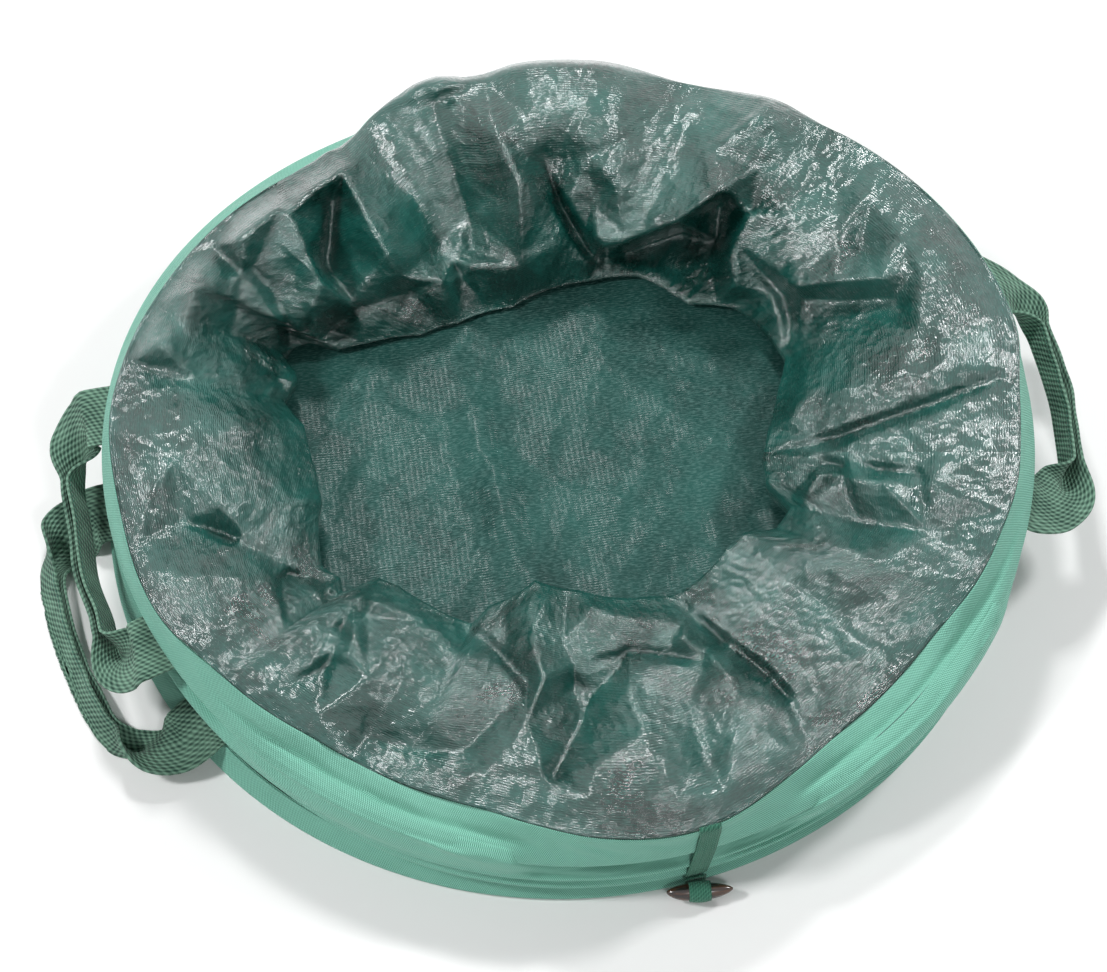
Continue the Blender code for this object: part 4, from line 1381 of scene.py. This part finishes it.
def aroundMouth(points, angles):
    # radius and height of a given outline at each angle round the middle of the mouth
    points = np.array(points, float)
    offset = points[:, :2] + collarSettings["shift"] - collarSettings["mouthMiddle"]
    where, far = pixelAngle(offset), np.linalg.norm(offset, axis=1)
    return readRound(angles, where, far), readRound(angles, where, points[:, 2])


def seamOutline(angles):
    # radius in pixels and height in mm of the rim's stitched edge, as the camera sees it
    turn = np.linspace(0, 2 * np.pi, 1441)[:-1]
    seam = bandSeam(turn, seamLean(turn)) + sagLift
    offset = pixelsOfPlaces(seam) - collarSettings["mouthMiddle"]
    where, far = pixelAngle(offset), np.linalg.norm(offset, axis=1)
    return readRound(angles, where, far), readRound(angles, where, seam[:, 2] * 1000)


def outerOutline(angles):
    # the rim's stitched edge, or the skyline where that lies further out at the back
    s = collarSettings
    seamRadius, seamHeight = seamOutline(angles)
    skyRadius, skyHeight = aroundMouth(skyline, angles)
    ends = np.array([skyline[-1][:2], skyline[0][:2]]) + s["shift"] - s["mouthMiddle"]
    first, last = pixelAngle(ends)
    over = (angles > first) & (angles < last) & (skyRadius > seamRadius)
    height = np.where(over, np.maximum(skyHeight, seamHeight), seamHeight)
    return np.where(over, skyRadius, seamRadius), smoothRound(height, s["edgeSmoothing"])


def foldPoints():
    # folds and creases in the image, each crease between two rails square to it where the cloth is level
    s = collarSettings
    right, down = s["shift"]
    points = [(x + right, y + down, h * s["foldShare"]) for line in folds for x, y, h in line]
    for line in creases:
        line = np.array(line, float)
        line[:, :2] += s["shift"]
        ahead = np.gradient(line[:, :2], axis=0)
        aside = unit(np.stack([-ahead[:, 1], ahead[:, 0]], -1)) * s["railDistance"]
        points += [(x, y, h * s["creaseShare"]) for x, y, h in line]
        points += [(*place, s["railHeight"]) for side in (-1, 1) for place in line[:, :2] + side * aside]
    return points


def foldRelief(heading, outRadius, inRadius):
    # folds spread between edges that are level, plus random facets, all softened
    s = collarSettings
    middle = np.array(s["mouthMiddle"])
    width, height, margin = cameraSettings["imageWidth"], cameraSettings["imageHeight"], s["frameMargin"]
    points = foldPoints()
    for radius, step in zip((outRadius, inRadius), s["edgeSteps"]):
        points += [(*(middle + r * h), 0.0) for r, h in zip(radius[::step], heading[::step])]
    left, right, top, bottom = -margin, width + margin, -margin, height + margin
    points += [(left, top, 0), (right, top, 0), (right, bottom, 0), (left, bottom, 0)]
    table = np.array(points, float)
    relief = rasterise(table[:, :2], table[:, 2])
    for count, tall in s["facets"]:
        spots = rng.uniform((0, 0), (width, height), (count, 2))
        relief += rasterise(spots, rng.normal(0, tall, count))
    return soften(relief, s["softening"])


def rowsOver(first):
    # straight up out of the casing to its edge, then straight on to the skyline, plus a half sine of the way
    s = collarSettings
    azimuth = np.arctan2(first[:, 1] - sagVector[1], first[:, 0] - sagVector[0])
    edge = bandSeam(azimuth, seamLean(azimuth))
    level = unit(polar(azimuth, 1.0, 0.0))
    rim = edge - level * s["rimInset"] + sagLift
    tuck = edge - level * s["tuckInset"] - upward * s["tuckDepth"]
    t = np.linspace(0, 1, s["rowsOver"] + 1)[:-1, None, None]
    below, above = t / s["tuckShare"], (t - s["tuckShare"]) / (1 - s["tuckShare"])
    rows = np.where(t < s["tuckShare"], tuck + (rim - tuck) * below, rim + (first - rim) * above)
    swell = np.linalg.norm(first - rim, axis=1)[None, :, None] * np.sin(np.pi * np.clip(above, 0, 1))
    return rows + (level * s["overSwell"] + upward * s["overRise"]) * swell


def rowsUnder(last):
    # a cubic Bezier curve from the lip in and down, then back under the heap, and one row on to the foot
    s = collarSettings
    away = unit(last[:, :2] - sagVector[:2])
    blank = np.zeros((len(last), 1))
    under = np.concatenate([away * s["underRadius"], blank + s["underHeight"]], 1)
    foot = np.concatenate([away * s["footRadius"], blank + s["footHeight"]], 1)
    inward = np.concatenate([-away, blank], 1)
    drop = (last[:, 2] - s["underHeight"])[:, None]
    bend = last + inward * np.minimum(s["lipReach"], drop) - upward * drop * s["lipDrop"]
    bottom = np.concatenate([last[:, :2] + away * s["lipBack"], blank + s["underHeight"]], 1)
    t = np.linspace(0, 1, s["rowsUnder"] + 1)[1:, None, None]
    rows = (1 - t) ** 3 * last + 3 * (1 - t) ** 2 * t * bend + 3 * (1 - t) * t ** 2 * bottom + t ** 3 * under
    return np.concatenate([rows, foot[None]], 0)


def makeCollar():
    # heights fall from the outer edge to the lip by a power of the way in, plus a crown and the folds, and
    # each is carried from the image to its place in the round
    s = collarSettings
    angles = np.linspace(0, 2 * np.pi, s["columns"], endpoint=False)
    heading = np.stack([np.cos(angles), -np.sin(angles)], -1)
    outRadius, outHeight = outerOutline(angles)
    inRadius, inHeight = aroundMouth(lip, angles)
    inHeight = smoothRound(inHeight, s["lipSmoothing"])
    share = np.linspace(0, 1, s["rowsSeen"])[:, None]
    share = share - s["rowCrowding"] * np.sin(2 * np.pi * share) / (2 * np.pi)
    radius = outRadius + (inRadius - outRadius) * share
    pixels = s["mouthMiddle"] + radius[..., None] * heading
    crown = 4 * share * (1 - share)
    plain = outHeight * (1 - share ** s["fall"]) + inHeight * share ** s["fall"] + s["bulge"] * crown
    relief = sample(foldRelief(heading, outRadius, inRadius), pixels)
    fade = s["edgeRelief"] + (1 - s["edgeRelief"]) * np.clip(crown * 3, 0, 1)
    seen = placeOfPixels(pixels, np.clip((plain + relief * fade) / 1000, s["bottom"], s["ceiling"]))
    places = np.concatenate([rowsOver(seen[0]), seen, rowsUnder(seen[-1])], 0)
    piece = addMesh("bunchedLiner", places, clothUv(places, closeColumns=True), closeColumns=True)
    applyModifiers(thicken(piece, s["thickness"], -1.0))
    between = ("base", "rim", s["blendStart"], s["blendEnd"])
    finishPiece(piece, liner, "liner", between=between, replaced=["bunched_liner"])


makeCollar()
print("collar made")


# Handles: 40 mm webbing, flat where it is sewn in, folded in half lengthwise and stitched along the grip

handleSettings = {
    "width": 0.040,
    "thickness": 0.0016,
    "spacing": 0.168,
    "hingeDistance": 0.2772,
    "rootRadius": 0.2690,
    "rootRun": 0.006,
    "rootLift": 0.0004,
    "rimDrop": 0.0039,  # the sewn end under the rim's hoop
    "baseRise": 0.0120,  # the sewn end over the base's hoop
    "baseLift": 0.0012,
    "beforeHinge": 0.003,
    "pastHinge": 0.004,
    "cornerTurns": (25, 50, 70, 90),  # degrees round each corner
    "corner": 0.045,
    "foldGap": 0.0012,
    "foldTurn": 86,  # degrees that each half of the width is folded up
    "foldWave": 0.05,
    "flatEnd": 0.036,  # metres from the end to where the fold begins, and along which it closes
    "foldRun": 0.036,
    "turnEnd": 0.018,  # the same for the turn from the ring's direction to the grip's
    "turnRun": 0.045,
    "rootCurve": 0.02,
    "floorGap": 0.0003,
    "selvedge": 0.0005,
    "selvedgeAngle": 60,
    "blendBefore": 0.006,  # metres on either side of the hinge, between base or rim and the swinging grip
    "blendPast": 0.010,
    "stitchInset": 0.0032,
    "stitch": (0.0036, 0.0025, 0.00042),
    "stitchedFold": 0.97,
    "columns": 190,
    "across": 19,
}

handles = {
    # angle, droop and reach as built; the way the folded edges face; body and parent; slack waves
    "leftHandle": dict(angle=187.0, droop=55.0, reach=0.0310, roll=-113.0, node="left_handle", parent="rim",
                       wobble=0.0022, bow=0.004),
    "rightHandle": dict(angle=-2.5, droop=23.0, reach=0.0370, roll=-86.0, node="right_handle", parent="rim",
                        wobble=0.0018, bow=0.004),
    "tipHandle": dict(angle=194.75, droop=15.5, reach=0.0420, roll=-150.0, node="tip_handle", parent="base",
                      wobble=0.0020, bow=0.003),
}


def jointPlace(child):
    # where the record's joint of that body lies
    joint = next(j for j in frame["record"]["behaviour"]["joints"] if j["child"] == child)
    return np.array(joint["pos_m"])


def handleAxes(h):
    # outward level, along the hinge, outward and normal of a handle that droops from level
    angle, droop = math.radians(h["angle"]), math.radians(h["droop"])
    level = np.array([math.cos(angle), math.sin(angle), 0.0])
    along = np.array([-math.sin(angle), math.cos(angle), 0.0])
    out = level * math.cos(droop) - upward * math.sin(droop)
    return level, along, out, level * math.sin(droop) + upward * math.cos(droop)


def rootPlace(h, side, radius, lift):
    # a place of the sewn end: its own angle round the ring, at a height set by the hoop it is sewn to
    s = handleSettings
    ends = np.array(math.radians(h["angle"]) + side * math.atan2(s["spacing"] / 2, s["hingeDistance"]))
    if h["parent"] == "rim":
        return polar(ends, radius, rimHoopHeight(ends) - s["rimDrop"] + lift) + sagVector
    return polar(ends, radius, baseSettings["wireHeight"] + s["baseRise"] * rise(ends) + s["baseLift"] + lift)


def handleLine(h, hinge, along, out, normal):
    # from each sewn end out over the hinge and round a quarter of an ellipse to the bowed grip
    s = handleSettings
    half, reach, thick = s["spacing"] / 2, h["reach"], s["thickness"]
    runs = []
    for side in (-1, 1):
        end = hinge + along * side * half - normal * thick / 2
        run = [
            rootPlace(h, side, s["rootRadius"], s["rootLift"]),
            rootPlace(h, side, s["rootRadius"] + s["rootRun"], 0.0),
            end - out * s["beforeHinge"],
            end + out * s["pastHinge"],
        ]
        for turn in np.radians(s["cornerTurns"]):
            beside = half - s["corner"] * (1 - math.cos(turn))
            run.append(hinge + out * reach * math.sin(turn) + along * side * beside - normal * thick)
        runs.append(run)
    straight = half - s["corner"]
    grip = [
        hinge + out * (reach + h["bow"] * (1 - q * q)) + along * straight * q - normal * thick
        for q in (-0.5, 0, 0.5)
    ]
    return smoothLine(runs[0] + grip + runs[1][::-1], s["columns"])


def handleStrap(h, line, total, axes):
    # each section is a V rounded in the middle, whose halves fold up by an angle that grows from the ends
    s = handleSettings
    level, along, out, normal = axes
    share = np.linspace(0, 1, s["columns"])
    fromEnd = np.minimum(share * total, total - share * total)
    folding = smoothStep(np.clip((fromEnd - s["flatEnd"]) / s["foldRun"], 0, 1))
    line = line + normal * (waves(share, 1.0, 6, h["wobble"], rng) * folding)[:, None]
    run = unit(np.gradient(line, axis=0))
    roll = math.radians(h["roll"])
    facing = normal * math.cos(roll) + out * math.sin(roll)
    turning = smoothStep(np.clip((fromEnd - s["turnEnd"]) / s["turnRun"], 0, 1))[:, None]
    across = np.where(share[:, None] < 0.5, along, -along) * (1 - turning) + facing * turning
    across = unit(across - run * (across * run).sum(1, keepdims=True))
    uneven = waves(share, 1.0, 9, s["foldWave"], rng) * folding
    fold = (folding * math.radians(s["foldTurn"]) + uneven)[:, None]
    q, gap = np.linspace(-0.5, 0.5, s["across"])[None] * s["width"], s["foldGap"]
    sideways = q * np.cos(fold) + gap * np.tanh(q / gap) * np.sin(fold)
    raised = np.sin(fold) * (np.sqrt(q * q + gap * gap) - gap) - np.sin(fold) * s["width"] / 4
    lift = np.cross(run, across)
    places = line[:, None] + across[:, None] * sideways[..., None] + lift[:, None] * raised[..., None]
    # the flat ends follow the ring that they are sewn to
    arcDrop = (q ** 2) / (2 * s["rootRadius"]) * np.clip(1 - fromEnd / s["rootCurve"], 0, 1)[:, None]
    places = places - level * arcDrop[..., None]
    places[..., 2] = np.maximum(places[..., 2], s["thickness"] / 2 + s["floorGap"])
    return places, across, folding


def makeHandle(name, h):
    # one strap from sewn end to sewn end, and a row of stitches on each side of the folded grip
    s = handleSettings
    hinge, axes = jointPlace(h["node"]), handleAxes(h)
    line = handleLine(h, hinge, *axes[1:])
    total = np.linalg.norm(np.diff(line, axis=0), axis=1).sum()
    places, across, folding = handleStrap(h, line, total, axes)
    piece = addMesh(name, places, clothUv(places))
    thicken(piece, s["thickness"])
    bevel = piece.modifiers.new("selvedge", "BEVEL")
    bevel.width, bevel.segments = s["selvedge"], 2
    bevel.limit_method, bevel.angle_limit = "ANGLE", math.radians(s["selvedgeAngle"])
    applyModifiers(piece)
    piece.data.shade_smooth()
    replaced = [h["node"] + end for end in ("", "_first_end", "_second_end")]
    finishPiece(piece, webbing, "webbing", replaced=replaced)
    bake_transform(piece)
    # the rows that hold the folded edges together
    keep = folding > s["stitchedFold"]
    inset = int(round(s["stitchInset"] / s["width"] * (s["across"] - 1)))
    for k, (column, side) in enumerate(((-1 - inset, 1), (inset, -1))):
        outward = across * side
        seam = places[:, column] + outward * s["thickness"] / 2
        going = {"body": h["node"]}
        makeStitches(f"{name}Stitches{k}", seam[keep], outward[keep], thread, "webbing", s["stitch"], **going)


# Toggles, their tapes, and the rim's tapes that hook under them

toggleSettings = {
    "length": 0.038,
    "radius": 0.0050,
    "bow": 0.0016,
    "blunt": (2.3, 0.62),  # powers that round the horn off
    "taper": 0.10,
    "tip": 0.00004,
    "rings": 49,
    "yaw": -12.0,
    "tapeWidth": 0.0125,
    "tapeThickness": 0.0010,
    "tapeColumns": 9,
    "wrapOpen": 14,  # degrees on either side of where the loop closes
    "wrapSkin": 0.0003,
    "wrapSnug": 0.0007,  # the loop's edges are drawn in and up by these
    "wrapCup": 0.0004,
    "tetherInset": 0.0008,
    "tetherWay": ((0.0, 0.0032), (0.0002, 0.0085), (0.0006, 0.0125)),  # out from its root, and height
    "tetherLength": 0.0105,
    "sites": tuple(zip(("front", "rear"), bagSettings["tapeAngles"])),
}

loopSettings = {
    "steps": 60,
    "thickness": 0.0013,
    "skin": 0.0017,  # out from the cloth
    "overEdge": ((-0.0005, 0.0012), (0.0016, -0.0006)),  # out and up from the casing's edge
    "downFace": ((0.4, 0.2795, 0.0), (0.75, 0.2805, 0.0008)),  # share of the way to a radius, and lift
    "standOff": 0.0002,
    "belowWire": 0.008,
    "lowShare": 0.4,
    "lowHeight": 0.0185,
    "endHeight": 0.0172,
    "leanStart": 1.2,
    "ribHeight": 0.00035,
    "ribGroove": 0.10,  # grooves at the middle and near the edges, in half widths
    "ribSide": 0.8,
    "stitchRows": (-0.62, 0.0, 0.62),
    "stitchOut": 0.0010,
    "stitch": (0.0026, 0.0019, 0.0003),
}


def tapeStrap(line, along):
    # the tape's width laid level across its line
    q = np.linspace(-1, 1, toggleSettings["tapeColumns"])
    return line[:, None] + along * (q * toggleSettings["tapeWidth"] / 2)[None, :, None], q


def makeHorn(where, centre, axis):
    # a bowed horn: its radius is one less a power of the way to the end, itself to a power
    s = toggleSettings
    t = np.sin(np.linspace(-np.pi / 2, np.pi / 2, s["rings"]))
    path = centre + axis * (t * s["length"] / 2)[:, None] + upward * (s["bow"] * t * t)[:, None]
    full = np.maximum(1 - np.abs(t) ** s["blunt"][0], 0) ** s["blunt"][1]
    size = s["radius"] * full * (1 - s["taper"] * t) + s["tip"]
    piece = addMesh(f"{where}Toggle", tube(path, size, 32), closeColumns=True, flip=True)
    finishPiece(piece, horn, "toggle", body=f"{where}_toggle", replaced=[f"{where}_toggle"])


def makeWrap(where, centre, axis):
    # the tether's loop: a circle round the middle of the toggle, its edges drawn in by their distance squared
    s = toggleSettings
    gap = math.radians(s["wrapOpen"])
    turn = np.linspace(gap, 2 * np.pi - gap, 56)
    body = s["radius"] + s["wrapSkin"] + s["tapeThickness"] / 2
    rings = -np.cross(axis, upward) * np.cos(turn)[:, None] + upward * np.sin(turn)[:, None]
    middle, q = tapeStrap(np.broadcast_to(centre, rings.shape), axis)
    snug = body - s["wrapSnug"] * q ** 2
    wrap = middle + rings[:, None] * snug[None, :, None] + upward * (s["wrapCup"] * q ** 2)[None, :, None]
    piece = addMesh(f"{where}Wrap", wrap, clothUv(wrap))
    applyModifiers(thicken(piece, s["tapeThickness"]))
    finishPiece(piece, tape, "tape", body=f"{where}_toggle", replaced=[f"{where}_wrap"])


def makeTether(where, out, along):
    # a short strap up the base casing, to which it is sewn
    s = toggleSettings
    root = bagSettings["radius"] + s["tetherInset"]
    line = smoothLine([out * (root + stand) + upward * height for stand, height in s["tetherWay"]], 22)
    strap, _ = tapeStrap(line, along)
    piece = addMesh(f"{where}Tether", strap, clothUv(strap))
    applyModifiers(thicken(piece, s["tapeThickness"]))
    finishPiece(piece, tape, "tape", body="base", replaced=[f"{where}_tether"])


def loopRoute(angle):
    # the rim's tape over the casing's edge, down its face, round the wire and down to the toggle, as radius
    # and height; points on the face are shares of the way from the edge to the wire
    s, b = loopSettings, bagSettings
    hoop = rimHoopHeight(angle)
    edge = bandSeam(np.array(angle), float(seamLean(np.array(angle)))) - sagVector
    edgeRadius = math.hypot(edge[0], edge[1])
    route = [(edgeRadius + stand, edge[2] + lift) for stand, lift in s["overEdge"]]
    for share, radius, lift in s["downFace"]:
        stand = (1 - share) * edgeRadius + share * radius + s["skin"]
        route.append((stand, (1 - share) * edge[2] + share * hoop + lift))
    face = b["hoopRadius"] + b["hoopBore"] + s["skin"]
    route.append((face, hoop))
    low = (1 - s["lowShare"]) * hoop + s["lowShare"] * s["lowHeight"]
    return route + [(face + s["standOff"], height) for height in (hoop - s["belowWire"], low, s["endHeight"])]


def makeLoop(where, angle, out, along):
    # the rim's tape, its lean fading linearly downwards, with grooves that are bells across its width
    s, wide = loopSettings, toggleSettings["tapeWidth"]
    flat = smoothLine(loopRoute(angle), s["steps"])
    shift = sagVector * np.clip(np.linspace(s["leanStart"], 0, s["steps"]), 0, 1)[:, None]
    line = out * flat[:, :1] + upward * flat[:, 1:] + shift
    strap, q = tapeStrap(line, along)
    ribs = s["ribHeight"] * (1 - bell(q / s["ribGroove"]))
    ribs = ribs * (1 - bell((np.abs(q) - s["ribSide"]) / s["ribGroove"]))
    face = unit(np.cross(along, np.gradient(line, axis=0)))
    strap = strap + face[:, None] * ribs[None, :, None]
    piece = addMesh(f"{where}Loop", strap, clothUv(strap), flip=True)
    applyModifiers(thicken(piece, s["thickness"]))
    finishPiece(piece, tape, "tape", body="rim", replaced=[f"{where}_loop"])
    for k, beside in enumerate(s["stitchRows"]):
        row = line + along * beside * wide / 2 + face * s["stitchOut"]
        name = f"{where}LoopStitches{k}"
        makeStitches(name, row[3:-2], face[3:-2], thread, "tape", s["stitch"], body="rim")


def makeToggle(where, degrees):
    # the toggle's axis lies along the ring, turned by its yaw
    angle, yaw = math.radians(degrees), math.radians(toggleSettings["yaw"])
    out = np.array([math.cos(angle), math.sin(angle), 0.0])
    along = np.array([-math.sin(angle), math.cos(angle), 0.0])
    centre, axis = jointPlace(f"{where}_toggle"), along * math.cos(yaw) - out * math.sin(yaw)
    makeHorn(where, centre, axis)
    makeWrap(where, centre, axis)
    makeTether(where, out, along)
    makeLoop(where, angle, out, along)


makeRimCasing()
makeRimHoop()
makeBaseCasing()
makePanel()
makeWall()
makeCoil()
makeSleeves()
print("casings, coil and panel made")
for name, settings in handles.items():
    makeHandle(name, settings)
for where, degrees in toggleSettings["sites"]:
    makeToggle(where, degrees)
print("handles and toggles made")


# Lights, floor and world

stageSettings = {
    "floorSize": 2.6,
    "floorColour": "#f4f4f4",
    "worldLight": 0.20,
    "aim": (0, 0, 0.05),
    "lamps": [  # place, size, watts
        ((-0.1, 1.1, 1.7), 0.30, 20),
        ((-1.2, -0.2, 1.4), 0.25, 15),
        ((1.2, 0.3, 1.3), 0.25, 13),
        ((0.2, -1.4, 1.3), 0.30, 7),
    ],
}


def makeStage():
    # a pale floor, soft lamps turned to the bag, and a white backdrop: its strength is a mix of 1 where it is
    # seen and of the weaker light that it gives
    s = stageSettings
    half = s["floorSize"] / 2
    floor = addMesh("floor", np.array([[[x, y, 0] for x in (-half, half)] for y in (-half, half)], float))
    material, _ = startMaterial("paleFloor", {
        "Base Color": linear(s["floorColour"]), "Roughness": 0.9, "Specular IOR Level": 0.15,
    })
    floor.data.materials.append(material)
    for i, (place, size, watts) in enumerate(s["lamps"]):
        lamp = bpy.data.lights.new(f"softbox{i}", "AREA")
        lamp.shape, lamp.size, lamp.energy = "SQUARE", size, watts
        holder = linkObject(f"softbox{i}", lamp)
        holder.location = place
        holder.rotation_euler = (Vector(s["aim"]) - Vector(place)).to_track_quat("-Z", "Y").to_euler()
    world = bpy.data.worlds.new("studio")
    bpy.context.scene.world = world
    world.use_nodes = True
    back = world.node_tree.nodes["Background"]
    # it is seen by the camera, in reflections and through see-through pieces
    path = addNode(world, "ShaderNodeLightPath", {}, {})
    shown = path.outputs["Is Camera Ray"]
    for ray in ("Is Glossy Ray", "Is Transmission Ray"):
        shown = addNode(world, "ShaderNodeMath", {"operation": "MAXIMUM"}, {0: shown, 1: path.outputs[ray]})
    strength = addNode(world, "ShaderNodeMix", {"data_type": "FLOAT"}, {0: shown, 2: s["worldLight"], 3: 1.0})
    world.node_tree.links.new(strength.outputs[0], back.inputs["Strength"])
    back.inputs["Color"].default_value = (1, 1, 1, 1)
    bpy.context.scene.view_settings.view_transform = "Standard"


makeStage()
print("lights, floor and world made")
for name, material in (("base_hoop", steel), ("base_hoop_ferrule", ferrule)):
    node = frame["nodes"][name]
    node.data.materials.clear()
    node.data.materials.append(material)
